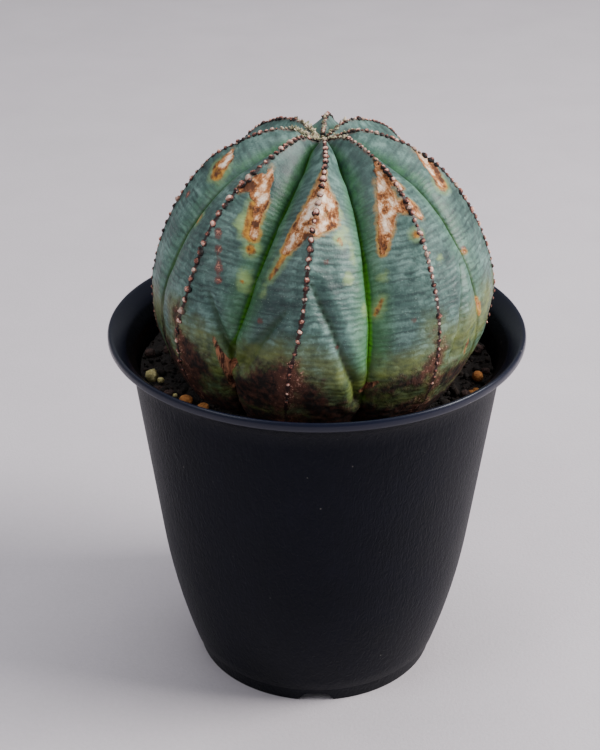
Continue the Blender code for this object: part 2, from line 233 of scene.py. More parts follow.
class Paint(Tree):
    """The node tree of one material, with the helpers that its finish is written in."""

    def __init__(self, name: str) -> None:
        """Makes the material, empty but for its shader and output.

        Args:
            name: The material's name.
        """
        self.material = bpy.data.materials.new(name)
        self.material.use_nodes = True
        super().__init__(self.material.node_tree)
        self.nodes.nodes.clear()
        self.shader = self.add("ShaderNodeBsdfPrincipled")
        self.add("ShaderNodeOutputMaterial", None, {"Surface": self.shader.outputs["BSDF"]})
        place = self.out("ShaderNodeTexCoord", None, None, "Object")
        self.place = self.scaled(place, (1 / MM,) * 3)

    def scaled(self, vector: Any, factors: Sequence[float]) -> Any:
        """A vector times another, part by part."""
        return self.out("ShaderNodeVectorMath", {"operation": "MULTIPLY"}, {0: vector, 1: tuple(factors)})

    def mark(self, name: str) -> Value:
        """A number stored on the mesh."""
        return self.value("ShaderNodeAttribute", {"attribute_name": name}, None, "Fac")

    def clouds(
        self, scale: float, detail: float = 3.0, rough: float = 0.55, vector: Any = None, warp: float = 0.0
    ) -> Value:
        """Noise from 0 to 1.

        Args:
            scale: Lumps per millimetre.
            detail: Octaves of finer noise.
            rough: Strength of the finer octaves.
            vector: Where the noise is read, or None for the place in millimetres.
            warp: How far the noise distorts itself.

        Returns:
            The noise.
        """
        sockets = {"Vector": self.place if vector is None else vector, "Scale": scale, "Detail": detail}
        sockets |= {"Roughness": rough, "Distortion": warp}
        return self.value("ShaderNodeTexNoise", None, sockets, "Fac")

    def cells(self, scale: float) -> Value:
        """Distance to the nearest of scattered points, of which there are scale per millimetre."""
        return self.value("ShaderNodeTexVoronoi", None, {"Vector": self.place, "Scale": scale}, "Distance")

    @staticmethod
    def shade(colour: Any) -> Any:
        """A colour as shaders take it: a socket as it is, or three numbers of 0 to 255 made linear."""
        return srgb(*colour) if isinstance(colour, tuple) else colour

    def mix(self, factor: Any, first: Any, second: Any) -> Any:
        """A colour between two, by a factor."""
        sockets = {0: factor, 6: self.shade(first), 7: self.shade(second)}
        return self.out("ShaderNodeMix", {"data_type": "RGBA", "clamp_factor": True}, sockets, 2)

    def ramp(self, factor: Value, *stops: tuple[float, Colour]) -> Any:
        """A colour read off a ramp."""
        settings = {"stops": [(place, self.shade(colour)) for place, colour in stops]}
        return self.out("ShaderNodeValToRGB", settings, {"Fac": factor}, "Color")

    def finish(
        self, colour: Any, rough: Any, height: Value, depth: float, **others: Any
    ) -> bpy.types.Material:
        """Feeds the shader.

        Args:
            colour: Base colour.
            rough: Roughness.
            height: Relief from 0 to 1 for the bump.
            depth: The relief's full height in millimetres.
            others: Other sockets of the shader, with underscores for spaces.

        Returns:
            The finished material.
        """
        bump = self.out("ShaderNodeBump", None, {"Height": height, "Distance": depth * MM, "Strength": 1.0})
        for name, given in {"Base_Color": colour, "Roughness": rough, "Normal": bump, **others}.items():
            self.feed(self.shader.inputs[name.replace("_", " ")], given)
        return self.material


class Growth(Tree):
    """A Geometry Nodes tree with named inputs, which a modifier runs on a carrier object."""

    INPUT_TYPES = {
        float: "NodeSocketFloat",
        int: "NodeSocketInt",
        bpy.types.Collection: "NodeSocketCollection",
        bpy.types.Material: "NodeSocketMaterial",
    }

    def __init__(self, name: str, inputs: dict[str, Any]) -> None:
        """Makes the tree.

        Args:
            name: The tree's name.
            inputs: Each named input's value: a float, an int, a collection or a material.
        """
        super().__init__(bpy.data.node_groups.new(name, "GeometryNodeTree"))
        self.values = inputs
        self._socket("Geometry", "INPUT", "NodeSocketGeometry")
        self._socket("Geometry", "OUTPUT", "NodeSocketGeometry")
        for label, given in inputs.items():
            self._socket(label, "INPUT", self.INPUT_TYPES[type(given)])
        self.inputs = self.add("NodeGroupInput").outputs

    def _socket(self, label: str, side: str, kind: str) -> None:
        """Adds a socket to the tree's own interface."""
        self.nodes.interface.new_socket(label, in_out=side, socket_type=kind)

    def given(self, label: str) -> Value:
        """One of the tree's named inputs."""
        return Value(self, self.inputs[label])

    def stored(self, name: str, kind: str = "FLOAT") -> Value:
        """A named attribute of the carrier."""
        return self.value("GeometryNodeInputNamedAttribute", {"data_type": kind}, {"Name": name}, "Attribute")

    def chance(self, kind: str, low: Any, high: Any, seed_step: float) -> Value:
        """A random value for each point.

        Args:
            kind: FLOAT, FLOAT_VECTOR or INT.
            low: Lowest value.
            high: Highest value.
            seed_step: Added to the tree's seed, so that no two draws match.

        Returns:
            The random value.
        """
        sockets = {"Min": low, "Max": high, "Seed": self.given("Seed") + seed_step}
        node = self.add("FunctionNodeRandomValue", {"data_type": kind}, sockets)
        return Value(self, next(s for s in node.outputs if s.enabled))

    def close(self, geometry: Any) -> None:
        """Ends the tree: real faces in the given material.

        Args:
            geometry: What the tree made, which may hold instances.
        """
        real = self.out("GeometryNodeRealizeInstances", None, {"Geometry": geometry})
        sockets = {"Geometry": real, "Material": self.given("Material")}
        self.add("NodeGroupOutput", None, {"Geometry": self.out("GeometryNodeSetMaterial", None, sockets)})

    def grow(self, name: str, carrier: bpy.types.Object) -> bpy.types.Object:
        """Runs the tree on a carrier.

        Args:
            name: The new piece's name.
            carrier: The object that carries the points, which is removed.

        Returns:
            A plain mesh object with what grew.
        """
        modifier = carrier.modifiers.new("growth", "NODES")
        modifier.node_group = self.nodes
        for item in self.nodes.interface.items_tree:
            if item.in_out == "INPUT" and item.name in self.values:
                modifier[item.identifier] = self.values[item.name]
        mesh = evaluated(carrier)
        mesh.name = name
        bpy.data.objects.remove(carrier)
        mesh.shade_smooth()
        return link(bpy.data.objects.new(name, mesh))


@dataclass
class Spots:
    """Places for scattered copies, each with the way its copy points and its size."""

    places: list[Vector] = field(default_factory=list)
    ways: list[Vector] = field(default_factory=list)
    sizes: list[float] = field(default_factory=list)

    def add(self, place: Vector, way: Vector, size: float) -> None:
        """Adds one place.

        Args:
            place: Where the copy stands.
            way: Which way it points.
            size: Its size.
        """
        self.places.append(place)
        self.ways.append(way)
        self.sizes.append(float(size))


@dataclass
class Scatter:
    """Copies of a few small shapes on spots, each a little off in size and tilt.

    The size is the usual copy's, as a share of its shape's. The spread is how far sizes stray from it, as a
    share, and the tilt is how far copies lean off their spot's way, in radians.
    """

    name: str
    size: float
    spread: float
    tilt: float
    seed: int = 3

    def build(
        self, spots: Spots, shapes: list[bpy.types.Object], finish: bpy.types.Material
    ) -> bpy.types.Object:
        """Grows the copies.

        Args:
            spots: Where the copies go.
            shapes: The shapes, which are removed afterwards.
            finish: The copies' material.

        Returns:
            The piece, one plain mesh.
        """
        carrier = shape_object(self.name + "_places", spots.places, [])
        store(carrier.data, "out", np.array([tuple(way) for way in spots.ways]), "FLOAT_VECTOR")
        store(carrier.data, "grow", np.array(spots.sizes))
        choices = bpy.data.collections.new(self.name + "_shapes")
        for shape in shapes:
            bpy.context.scene.collection.objects.unlink(shape)
            choices.objects.link(shape)
        inputs = {"Size": self.size, "Size spread": self.spread, "Tilt": self.tilt, "Seed": self.seed}
        tree = Growth(self.name, inputs | {"Shapes": choices, "Material": finish})
        spread, tilt = tree.given("Size spread"), tree.given("Tilt")
        back = tilt * -1.0
        first = tree.out("ShaderNodeCombineXYZ", None, {0: back, 1: back, 2: -math.pi})
        last = tree.out("ShaderNodeCombineXYZ", None, {0: tilt, 1: tilt, 2: math.pi})
        way = {"Vector": tree.stored("out", "FLOAT_VECTOR")}
        upright = tree.out("FunctionNodeAlignRotationToVector", {"axis": "Z"}, way)
        angles = tree.chance("FLOAT_VECTOR", first, last, 1.0)
        lean = tree.out("FunctionNodeEulerToRotation", None, {0: angles})
        turned = tree.out("FunctionNodeRotateRotation", {"rotation_space": "LOCAL"}, {0: upright, 1: lean})
        scale = tree.stored("grow") * tree.given("Size")
        scale = scale * tree.chance("FLOAT", 1.0 - spread, spread + 1.0, 2.0)
        sockets = {"Collection": tree.given("Shapes"), "Separate Children": True, "Reset Children": True}
        kinds = tree.out("GeometryNodeCollectionInfo", None, sockets)
        sockets = {"Points": tree.given("Geometry"), "Instance": kinds, "Pick Instance": True}
        sockets |= {"Instance Index": tree.chance("INT", 0, len(shapes) - 1, 3.0)}
        sockets |= {"Rotation": turned, "Scale": scale}
        copies = tree.out("GeometryNodeInstanceOnPoints", None, sockets)
        sockets = {"Geometry": copies, "Name": "tone", "Value": tree.chance("FLOAT", 0.0, 1.0, 4.0)}
        settings = {"data_type": "FLOAT", "domain": "INSTANCE"}
        tree.close(tree.out("GeometryNodeStoreNamedAttribute", settings, sockets))
        piece = tree.grow(self.name, carrier)
        for shape in shapes:
            bpy.data.objects.remove(shape)
        bpy.data.collections.remove(choices)
        return piece


# ---- Meshes --------------------------------------------------------------------------------------------


def link(obj: bpy.types.Object) -> bpy.types.Object:
    """Puts an object in the scene."""
    bpy.context.scene.collection.objects.link(obj)
    return obj


def evaluated(obj: bpy.types.Object) -> bpy.types.Mesh:
    """A plain mesh of an object with its modifiers applied.

    Args:
        obj: The object.

    Returns:
        The mesh.
    """
    bpy.context.view_layer.update()
    graph = bpy.context.evaluated_depsgraph_get()
    return bpy.data.meshes.new_from_object(obj.evaluated_get(graph))


def shape_object(name: str, points: Iterable, faces: Iterable) -> bpy.types.Object:
    """A smooth mesh object.

    Args:
        name: The object's name.
        points: The corners, in metres.
        faces: The faces, as indices of the corners.

    Returns:
        The object, in the scene.
    """
    mesh = bpy.data.meshes.new(name)
    mesh.from_pydata([tuple(point) for point in points], [], [tuple(face) for face in faces])
    mesh.shade_smooth()
    return link(bpy.data.objects.new(name, mesh))


def worked_object(name: str, work: bmesh.types.BMesh) -> bpy.types.Object:
    """An object of a worked mesh, which is freed.

    Args:
        name: The object's name.
        work: The worked mesh.

    Returns:
        The object, in the scene.
    """
    mesh = bpy.data.meshes.new(name)
    work.to_mesh(mesh)
    work.free()
    return link(bpy.data.objects.new(name, mesh))


def store(mesh: bpy.types.Mesh, name: str, numbers: np.ndarray, kind: str = "FLOAT") -> None:
    """Stores a number or a vector on each of a mesh's corners.

    Args:
        mesh: The mesh.
        name: The attribute's name.
        numbers: One number, or one row of three, for each corner.
        kind: FLOAT or FLOAT_VECTOR.
    """
    attribute = mesh.attributes.new(name, kind, "POINT")
    key = "value" if kind == "FLOAT" else "vector"
    attribute.data.foreach_set(key, np.ascontiguousarray(numbers, np.float32).ravel())


def tube_faces(rows: int, columns: int) -> list[tuple[int, int, int, int]]:
    """The faces of a closed tube of rings that run downwards, each ring turning anticlockwise from above.

    Args:
        rows: How many rings there are.
        columns: How many corners each ring has.

    Returns:
        The faces, as indices of the corners, ring after ring.
    """
    faces = []
    for row in range(rows - 1):
        for column in range(columns):
            after = (column + 1) % columns
            here, below = row * columns, (row + 1) * columns
            faces.append((here + column, below + column, below + after, here + after))
    return faces


def clay(point: Vector, scale: float, octaves: int = 3) -> float:
    """Smooth noise of about -1 to 1 at a place, with this many lumps per unit."""
    return noise.fractal(point * scale, 0.8, 2.0, octaves)


def clay_grid(points: np.ndarray, scale: float, octaves: int = 3) -> np.ndarray:
    """The same noise at each point of a grid."""
    lumps = [clay(Vector(point), scale, octaves) for point in points.reshape(-1, 3)]
    return np.array(lumps).reshape(points.shape[:-1])


def bell(offset: Any) -> Any:
    """A smooth hump of 1 at 0, which falls to a third at 1 on either side."""
    return np.exp(-(offset**2))


def settle(piece: bpy.types.Object, slot: str, *replaced: str) -> bpy.types.Object:
    """Ties a finished piece to the frame.

    Args:
        piece: The piece.
        slot: The record's material slot of the piece. It is not used.
        replaced: The nodes it stands for.

    Returns:
        The piece.
    """
    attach(piece, BODY)
    if replaced:
        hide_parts(*replaced)
    log.info("%s: %d faces", piece.name, len(piece.data.polygons))
    return piece


# ---- The plant's form ----------------------------------------------------------------------------------


@dataclass(frozen=True)
class Line:
    """A line down the plant, along a rib's crest or in the groove between two ribs.

    Each row of three is at the crown, at the widest ring and at the soil. Azimuths are in degrees from the
    front, depths are shares of the usual groove, and greens say how clear a green the groove has. The light
    is how much paler, or darker if below 0, the flank after this line is. A paler flank is partly the skin's
    own paler lobes and partly painted light where the flank faces the key light; a darker flank is painted
    shade where it faces away. The bend is how many degrees the line swings aside at the shoulder.
    """

    azimuths: tuple[float, float, float]
    depths: tuple[float, float, float] = (1.0, 1.0, 1.0)
    greens: tuple[float, float, float] = (0.25, 0.2, 0.1)
    light: float = 0.0
    bend: float = 0.0


@dataclass
class RibbedForm:
    """The plant's surface: an outline turned round the plant and pressed in along its grooves."""

    low: Vector
    high: Vector
    offset_x: float = 1.0 * MM
    groove_depth: float = 4.6 * MM
    crest_slopes: tuple[float, float, float] = (0.62, 0.4, 0.34)
    groove_power: float = 5.0
    crown_station: float = 3.0
    shoulder_station: float = 5.0
    shoulder_reach: float = 1.6
    widest_station: float = 9.0
    soil_station: float = 12.5
    outline: tuple[tuple[float, float, float], ...] = (
        (0.000, 1.096, 0.00),
        (0.080, 1.138, 0.24),
        (0.210, 1.174, 0.62),
        (0.370, 1.140, 0.96),
        (0.580, 1.035, 1.20),
        (0.730, 0.893, 1.22),
        (0.848, 0.718, 1.14),
        (0.938, 0.521, 1.02),
        (0.991, 0.336, 0.92),
        (1.000, 0.197, 0.84),
        (0.990, 0.046, 0.76),
        (0.944, -0.093, 0.66),
        (0.866, -0.220, 0.54),
        (0.744, -0.347, 0.42),
        (0.570, -0.463, 0.26),
        (0.370, -0.544, 0.12),
        (0.232, -0.613, 0.04),
        (0.162, -0.718, 0.00),
        (0.127, -0.926, 0.00),
        (0.093, -1.157, 0.00),
        (0.052, -1.389, 0.00),
        (0.000, -1.458, 0.00),
    )
    lines: tuple[Line, ...] = (
        Line((3, -10, -13.5), light=0.3, bend=-2.8),
        Line((20, 15.5, 13), (1.75, 1.4, 1.2), (0.2, 0.8, 0.4), -0.35),
        Line((41, 38, 35), light=0.2),
        Line((62, 62, 58), (1.4, 0.2, 0.1), (0.2, 0.0, 0.0), 0.1),
        Line((84, 84, 82), light=0.0),
        Line((109, 109, 107), (1.4, 0.9, 0.7)),
        Line((136, 134, 132), light=0.2, bend=3.0),
        Line((155, 154, 153), (1.5, 1.2, 1.1), (0.3, 0.6, 0.3), -0.1),
        Line((174, 172, 171), light=0.3),
        Line((196, 197, 196), (1.4, 0.8, 0.8)),
        Line((222, 222, 220), light=0.1, bend=-3.0),
        Line((250, 250, 249), (1.5, 0.9, 0.8), light=-0.2),
        Line((269, 274, 272), light=0.1),
        Line((295, 290, 290), (1.4, 0.3, 0.2), (0.2, 0.0, 0.0), -0.1),
        Line((320.5, 306.9, 309), light=-0.12, bend=-3.4),
        Line((340, 328, 328), (1.75, 1.3, 1.1), (0.4, 0.45, 0.1), -0.5),
    )

    def __post_init__(self) -> None:
        """Works the plant's radius and the rim's height out of its box."""
        shares = [height for _, height, _ in self.outline]
        self.radius = (self.high.z - self.low.z) / (max(shares) - min(shares))
        self.datum = self.high.z - max(shares) * self.radius
        self.last = len(self.outline) - 1
        fine = np.linspace(0, self.last, 100 * self.last + 1)
        radii, heights, _, _ = self.stations(fine)
        steps = np.hypot(np.diff(radii), np.diff(heights))
        self.fine = fine
        self.fine_run = np.concatenate([[0.0], np.cumsum(steps)])
        self.fine_radii = radii
        self.fine_heights = heights

    def stations(self, s: np.ndarray) -> tuple[np.ndarray, np.ndarray, np.ndarray, np.ndarray]:
        """The outline at stations counted along its points.

        Args:
            s: The stations.

        Returns:
            Radius, height, outward normal (one row each) and groove depth, in metres.
        """
        table = np.array(self.outline)
        before = table[1] * (-1, 1, 1)
        after = table[-2] * (-1, 1, 1)
        table = np.vstack([before, table, after])
        first = np.clip(np.floor(s).astype(int), 0, self.last - 1)
        t = (s - first)[:, None]
        p0, p1, p2, p3 = (table[first + k] for k in range(4))
        b, c, d = p2 - p0, 2 * p0 - 5 * p1 + 4 * p2 - p3, 3 * p1 - p0 - 3 * p2 + p3
        values = 0.5 * (2 * p1 + b * t + c * t**2 + d * t**3)
        slopes = 0.5 * (b + 2 * c * t + 3 * d * t**2)
        lengths = np.maximum(np.hypot(slopes[:, 0], slopes[:, 1]), 1e-9)
        normals = np.stack([-slopes[:, 1], slopes[:, 0]], 1) / lengths[:, None]
        radii = np.maximum(values[:, 0], 0) * self.radius
        heights = self.datum + values[:, 1] * self.radius
        return radii, heights, normals, np.maximum(values[:, 2], 0) * self.groove_depth

    def run(self, s: np.ndarray) -> np.ndarray:
        """Length along the outline from the crown to stations, in metres."""
        return np.interp(s, self.fine, self.fine_run)

    def station_at_run(self, run: np.ndarray) -> np.ndarray:
        """The stations at lengths along the outline."""
        return np.interp(run, self.fine_run, self.fine)

    def _between(self, numbers: Sequence[float], s: np.ndarray, ease: float = 1.0) -> np.ndarray:
        """A blend of what a line has at the crown, the widest ring and the soil, eased in at the crown.

        Args:
            numbers: What it has at the three.
            s: The stations.
            ease: How it eases in at the crown: 1 is evenly, and less is sooner.

        Returns:
            What it has at the stations.
        """
        crown, widest, soil = numbers
        upper = np.clip((s - self.crown_station) / (self.widest_station - self.crown_station), 0, 1) ** ease
        lower = np.clip((s - self.widest_station) / (self.soil_station - self.widest_station), 0, 1)
        return crown + (widest - crown) * upper + (soil - widest) * lower

    def azimuth(self, line: int, s: np.ndarray) -> np.ndarray:
        """Azimuths in radians of a line at stations. Lines past the last one count on past a full turn.

        Args:
            line: The line's number.
            s: The stations.

        Returns:
            The azimuths.
        """
        laps, number = divmod(line, len(self.lines))
        bend = self.lines[number].bend * bell((s - self.shoulder_station) / self.shoulder_reach)
        return np.radians(self._between(self.lines[number].azimuths, s) + bend + 360 * laps)

    def depth(self, line: int, s: np.ndarray) -> np.ndarray:
        """The share of the usual groove that a line has at stations."""
        return self._between(self.lines[line % len(self.lines)].depths, s, 0.5)

    def green(self, turns: np.ndarray, s: np.ndarray) -> np.ndarray:
        """How clear a green the nearest groove has, at each station and in each column."""
        nearest = (np.floor(turns / 2).astype(int) * 2 + 1) % len(self.lines)
        return np.stack([self._between(self.lines[line].greens, s) for line in nearest], 1)

    def share(self, across: float, s: np.ndarray) -> np.ndarray:
        """Share of the groove's depth at stations, at a place from 0 on the crest to 1 in the groove.

        Args:
            across: The place across the rib.
            s: The stations.

        Returns:
            The shares.
        """
        plunge = 1 - math.sqrt(max(0.0, 1 - across**self.groove_power))
        slope = self._between(self.crest_slopes, s)
        return slope * across + (1 - slope) * plunge

    def surface(self, s: np.ndarray, turn: float, swell: float = 0.0) -> tuple[np.ndarray, np.ndarray, float]:
        """Points of the surface at stations, down one column.

        Args:
            s: The stations.
            turn: Which column, counted in lines round the plant.
            swell: How far the surface is moved out.

        Returns:
            The points, the places they would have on the bare outline, and how far across the rib they are.
        """
        line = math.floor(turn)
        part = turn - line
        start, end = self.azimuth(line, s), self.azimuth(line + 1, s)
        azimuth = start + (end - start) * part
        across, groove = (part, line + 1) if line % 2 == 0 else (1 - part, line)
        radii, heights, normals, depths = self.stations(s)
        inwards = depths * self.depth(groove, s) * self.share(across, s) - swell
        pressed = np.maximum(0, radii - normals[:, 0] * inwards)
        points = self.placed(pressed, azimuth, heights - normals[:, 1] * inwards)
        return points, self.placed(radii, azimuth, heights), across

    def placed(self, radii: np.ndarray, azimuths: np.ndarray, heights: np.ndarray) -> np.ndarray:
        """Points at distances, azimuths and heights round the plant's axis."""
        return np.stack([self.offset_x + radii * np.sin(azimuths), -radii * np.cos(azimuths), heights], -1)

    def spot(self, azimuth: float, height: float) -> np.ndarray:
        """The bare outline's point below the shoulder at an azimuth in degrees, in millimetres.

        Args:
            azimuth: The azimuth.
            height: The height in millimetres.

        Returns:
            The point.
        """
        shoulder = int(np.argmax(self.fine_heights))
        radius = np.interp(-height * MM, -self.fine_heights[shoulder:], self.fine_radii[shoulder:])
        return self.placed(np.array(radius), np.radians(azimuth), np.array(height * MM)) / MM

    def distance(self, stroke: Stroke, places: np.ndarray) -> np.ndarray:
        """Distance in millimetres from places on the bare outline to a stroke's edge, below 0 inside it.

        Args:
            stroke: The stroke.
            places: The places, in millimetres.

        Returns:
            The distances.
        """
        spots = [self.spot(azimuth, height) for azimuth, height, _ in stroke]
        widths = [width for _, _, width in stroke]
        nearest = np.linalg.norm(places - spots[0], axis=-1) - widths[0]
        for start, end, first, second in zip(spots, spots[1:], widths, widths[1:]):
            along = end - start
            t = np.clip(((places - start) @ along) / (along @ along), 0, 1)
            gap = np.linalg.norm(places - start - t[..., None] * along, axis=-1)
            nearest = np.minimum(nearest, gap - first - (second - first) * t)
        return nearest


class MarkKind(Enum):
    """What a mark on the skin is, and the name its distances are stored under."""

    SCAR = "scar"
    BURN = "burn"
    STAIN = "stain"
    PALE = "pale"
    SPOT = "spot"
    CREASE = "crease"
    CRACK = "crack"
    CORK = "cork"
    OLIVE = "olive"


# The strokes of each kind. Each point is an azimuth in degrees, a height above the ground and a half-width,
# both in millimetres. A burn darkens part of a scar. Cork covers the base, climbs the ribs' crests and fills
# the front left groove's foot, with olive above it.
MARKS: dict[MarkKind, tuple[Stroke, ...]] = {
    MarkKind.SCAR: (
        # The big scar over the front rib's bumps, like an arrowhead with a torn lower edge.
        ((0.7, 142.4, 0.3), (-0.9, 140.2, 1.6), (-2.4, 137.6, 2.7), (-6.4, 134.6, 2.8), (-11.0, 131.6, 2.1),
         (-13.4, 129.9, 1.5), (-15.4, 128.7, 0.9)),
        ((1.5, 139.0, 1.9), (4.4, 137.2, 1.5), (4.4, 134.9, 1.5), (1.2, 134.2, 1.6), (-2.6, 132.7, 1.2),
         (-6.0, 132.6, 1.2)),
        # The long scar down the front left rib's right flank.
        ((-36.6, 142.4, 0.4), (-35.6, 140.8, 1.2), (-34.0, 138.4, 1.7), (-32.6, 135.9, 1.2),
         (-31.8, 133.2, 0.9), (-31.2, 131.2, 1.25)),
        ((-38.6, 141.0, 0.7), (-41.2, 139.2, 1.1), (-44.0, 138.0, 0.9)),
        ((-39.6, 139.4, 1.2), (-36.4, 138.2, 1.6)),
        # The forked scar on the front right rib.
        ((41.6, 143.2, 0.3), (37.4, 141.2, 1.0), (34.2, 139.2, 1.6), (32.4, 136.6, 2.2), (29.0, 133.4, 1.8),
         (26.4, 130.4, 1.3), (24.8, 128.4, 0.9)),
        ((33.0, 136.4, 1.6), (37.6, 135.4, 1.5), (41.6, 134.8, 1.8), (44.4, 132.9, 1.3)),
        ((38.5, 140.2, 1.0), (42.2, 138.6, 1.3)),
        # The scars on the left and right ribs' shoulders.
        ((-86.0, 141.4, 0.6), (-81.5, 140.7, 1.5), (-78.5, 139.6, 1.7)),
        ((84.6, 141.2, 0.6), (82.0, 139.8, 1.5), (79.0, 137.8, 1.8), (75.4, 135.3, 1.5)),
        # Small nicks in the right rib's left flank.
        ((62.4, 110.4, 0.3), (62.7, 108.6, 0.55), (63.2, 106.8, 0.3)),
        ((54.4, 102.4, 0.3), (53.4, 100.6, 0.6), (52.6, 99.4, 0.3)),
    ),
    MarkKind.STAIN: (
        ((-14.6, 128.6, 0.9), (-17.2, 125.8, 0.6), (-19.4, 123.1, 0.4)),
        ((6.7, 131.4, 0.55), (7.2, 130.6, 0.35)),
        ((-34.6, 136.6, 1.5), (-33.8, 134.0, 1.6), (-32.8, 131.2, 1.7)),
        ((-78.2, 139.2, 2.1), (-75.0, 138.0, 1.8)),
        ((-62.8, 130.2, 0.7), (-62.4, 129.2, 0.4)),
        ((21.4, 118.4, 0.2), (19.3, 116.2, 0.5), (18.4, 114.8, 0.3)),
    ),
    MarkKind.PALE: (
        ((7.4, 137.0, 0.5), (9.4, 133.8, 0.6), (11.4, 129.6, 0.5), (12.6, 126.6, 0.3)),
        ((-30.8, 122.4, 1.5), (-29.6, 119.5, 0.9)),
        ((-19.4, 122.4, 0.5), (-21.8, 119.0, 0.4)),
        ((14.4, 117.2, 0.5), (14.8, 115.0, 0.5)),
    ),
    MarkKind.SPOT: (
        ((-44.8, 129.6, 0.65), (-44.2, 128.6, 0.5)),
        ((-40.6, 123.8, 0.5), (-40.0, 122.6, 0.85)),
        ((-42.4, 126.4, 0.1), (-40.2, 123.0, 0.2), (-38.8, 120.2, 0.1)),
    ),
    MarkKind.CREASE: (
        ((-3.9, 122.4, 0.1), (-0.2, 117.3, 0.4), (3.2, 112.6, 0.6), (5.9, 106.6, 0.7), (8.1, 102.0, 0.8),
         (10.3, 98.4, 0.8), (12.0, 92.0, 0.6)),
        ((-12.0, 116.6, 0.1), (-18.2, 111.4, 0.9), (-22.5, 107.2, 1.4), (-27.0, 101.6, 1.4)),
        ((-41.5, 117.0, 0.1), (-37.6, 112.4, 0.5), (-34.5, 108.4, 0.7), (-30.0, 100.0, 0.7)),
        ((116.0, 118.0, 0.2), (118.0, 112.0, 0.5), (112.0, 98.0, 0.6)),
        ((-140.0, 120.0, 0.2), (-150.0, 110.0, 0.6), (-158.0, 100.0, 0.6)),
        ((58.0, 120.0, 0.1), (50.0, 110.0, 0.4), (45.0, 101.0, 0.4)),
    ),
    MarkKind.CRACK: (
        ((-37.6, 107.6, 0.1), (-36.6, 105.2, 0.4), (-35.4, 102.8, 0.7), (-33.8, 100.2, 1.2),
         (-32.8, 97.0, 0.9), (-32.4, 92.8, 0.3)),
        ((-31.2, 101.4, 0.2), (-32.4, 99.4, 0.9)),
        ((18.2, 97.8, 0.3), (15.6, 96.4, 0.8), (13.6, 94.6, 0.6)),
    ),
    MarkKind.CORK: (
        ((-28.0, 93.5, 4.5), (-20.0, 95.0, 5.6), (-13.5, 97.4, 5.8), (-10.5, 102.0, 2.4)),
        ((-8.5, 104.0, 1.2), (-6.0, 97.5, 3.6), (-1.0, 92.0, 4.4), (8.0, 89.0, 2.5)),
        ((-55.2, 109.6, 0.8), (-53.4, 106.6, 1.5), (-50.5, 103.0, 2.8), (-46.0, 98.0, 4.6)),
        ((-66.0, 96.0, 4.0), (-52.0, 92.0, 6.0)),
        ((37.0, 108.6, 0.1), (38.4, 104.2, 0.5), (37.0, 100.4, 1.5), (31.0, 97.6, 1.4), (24.0, 96.4, 1.5),
         (15.5, 93.8, 1.0)),
        ((40.0, 95.5, 2.2), (58.0, 93.0, 3.0)),
        # The foot of each of the other ribs, where the cork climbs the crest.
        *(((azimuth, 93.0 + climb, 0.5), (azimuth + 1.0, 94.0, 2.2), (azimuth - 14.0, 92.0, 3.2))
          for azimuth, climb in (
              (82.5, 9.0), (107.0, 3.0), (132.5, 12.0), (171.5, 9.0), (221.0, 13.0), (272.5, 10.0),
          )),
    ),
    MarkKind.OLIVE: (
        ((-42.0, 106.0, 3.0), (-34.0, 99.0, 4.0), (-24.0, 104.0, 2.0), (-14.0, 106.5, 1.5)),
        ((-4.0, 107.5, 0.8), (2.0, 102.5, 2.4), (6.8, 96.0, 4.0), (18.0, 95.0, 5.0)),
        ((20.0, 99.0, 3.5), (30.0, 102.0, 3.0), (38.0, 106.0, 1.6)),
        ((41.0, 107.0, 1.0), (50.0, 103.5, 4.0), (60.0, 105.0, 4.5), (70.0, 106.5, 5.0)),
        ((88.0, 108.0, 4.0), (112.0, 102.0, 5.0), (140.0, 106.0, 4.0)),
        ((186.0, 103.0, 4.0), (230.0, 105.0, 5.0), (256.0, 102.0, 5.0), (284.0, 103.0, 4.0)),
    ),
    MarkKind.BURN: (
        ((-11.4, 133.0, 0.5), (-8.9, 132.5, 0.8), (-6.2, 131.8, 0.7)),
        ((-3.4, 134.6, 0.5), (-7.4, 134.2, 0.5)),
        ((1.0, 136.6, 0.6), (4.0, 135.9, 0.9)),
        ((4.6, 134.4, 0.5), (2.0, 133.6, 0.4)),
        ((-1.0, 141.0, 0.3), (-4.4, 138.6, 0.5)),
        ((-45.0, 138.3, 0.9), (-41.2, 139.2, 0.9), (-38.6, 138.6, 0.5)),
        ((-33.6, 137.0, 0.5), (-33.0, 135.8, 0.7)),
        ((33.6, 138.4, 0.5), (31.0, 135.8, 0.7)),
        ((38.0, 135.4, 0.7), (42.4, 134.2, 0.9)),
        ((26.6, 131.0, 0.6), (25.0, 128.8, 0.8)),
        ((81.4, 138.6, 0.5), (77.4, 135.8, 0.8)),
    ),
}

# Marks of a single point, round and small.
DOTS: dict[MarkKind, Stroke] = {
    MarkKind.SCAR: (
        (63.8, 121.7, 0.55),
    ),
    MarkKind.STAIN: (
        (-30.9, 128.2, 1.1), (-31.0, 121.2, 0.4), (38.6, 129.6, 0.9), (75.2, 135.2, 2.0),
    ),
    MarkKind.PALE: (
        (6.7, 132.0, 1.4), (-30.4, 128.6, 1.7), (-35.4, 133.0, 2.6), (9.4, 123.4, 1.3), (22.8, 122.9, 1.0),
        (46.0, 123.8, 0.9),
    ),
    MarkKind.SPOT: (
        (-63.5, 130.3, 0.9), (-62.2, 129.4, 0.6), (-82.7, 131.3, 0.8), (64.2, 122.3, 0.6),
        (0.9, 127.0, 0.5), (63.8, 108.6, 0.45), (62.8, 106.6, 0.4), (53.3, 101.3, 0.45),
        (-20.6, 113.6, 0.5), (4.4, 108.4, 0.4), (30.2, 112.6, 0.4), (112.0, 128.0, 0.6),
        (-118.0, 121.0, 0.7), (160.0, 117.0, 0.6), (-160.0, 132.0, 0.5), (137.0, 110.0, 0.7),
        (-42.4, 126.4, 0.8), (-38.8, 120.2, 0.7),
    ),
    MarkKind.BURN: (
        (-32.2, 133.4, 0.5),
    ),
}


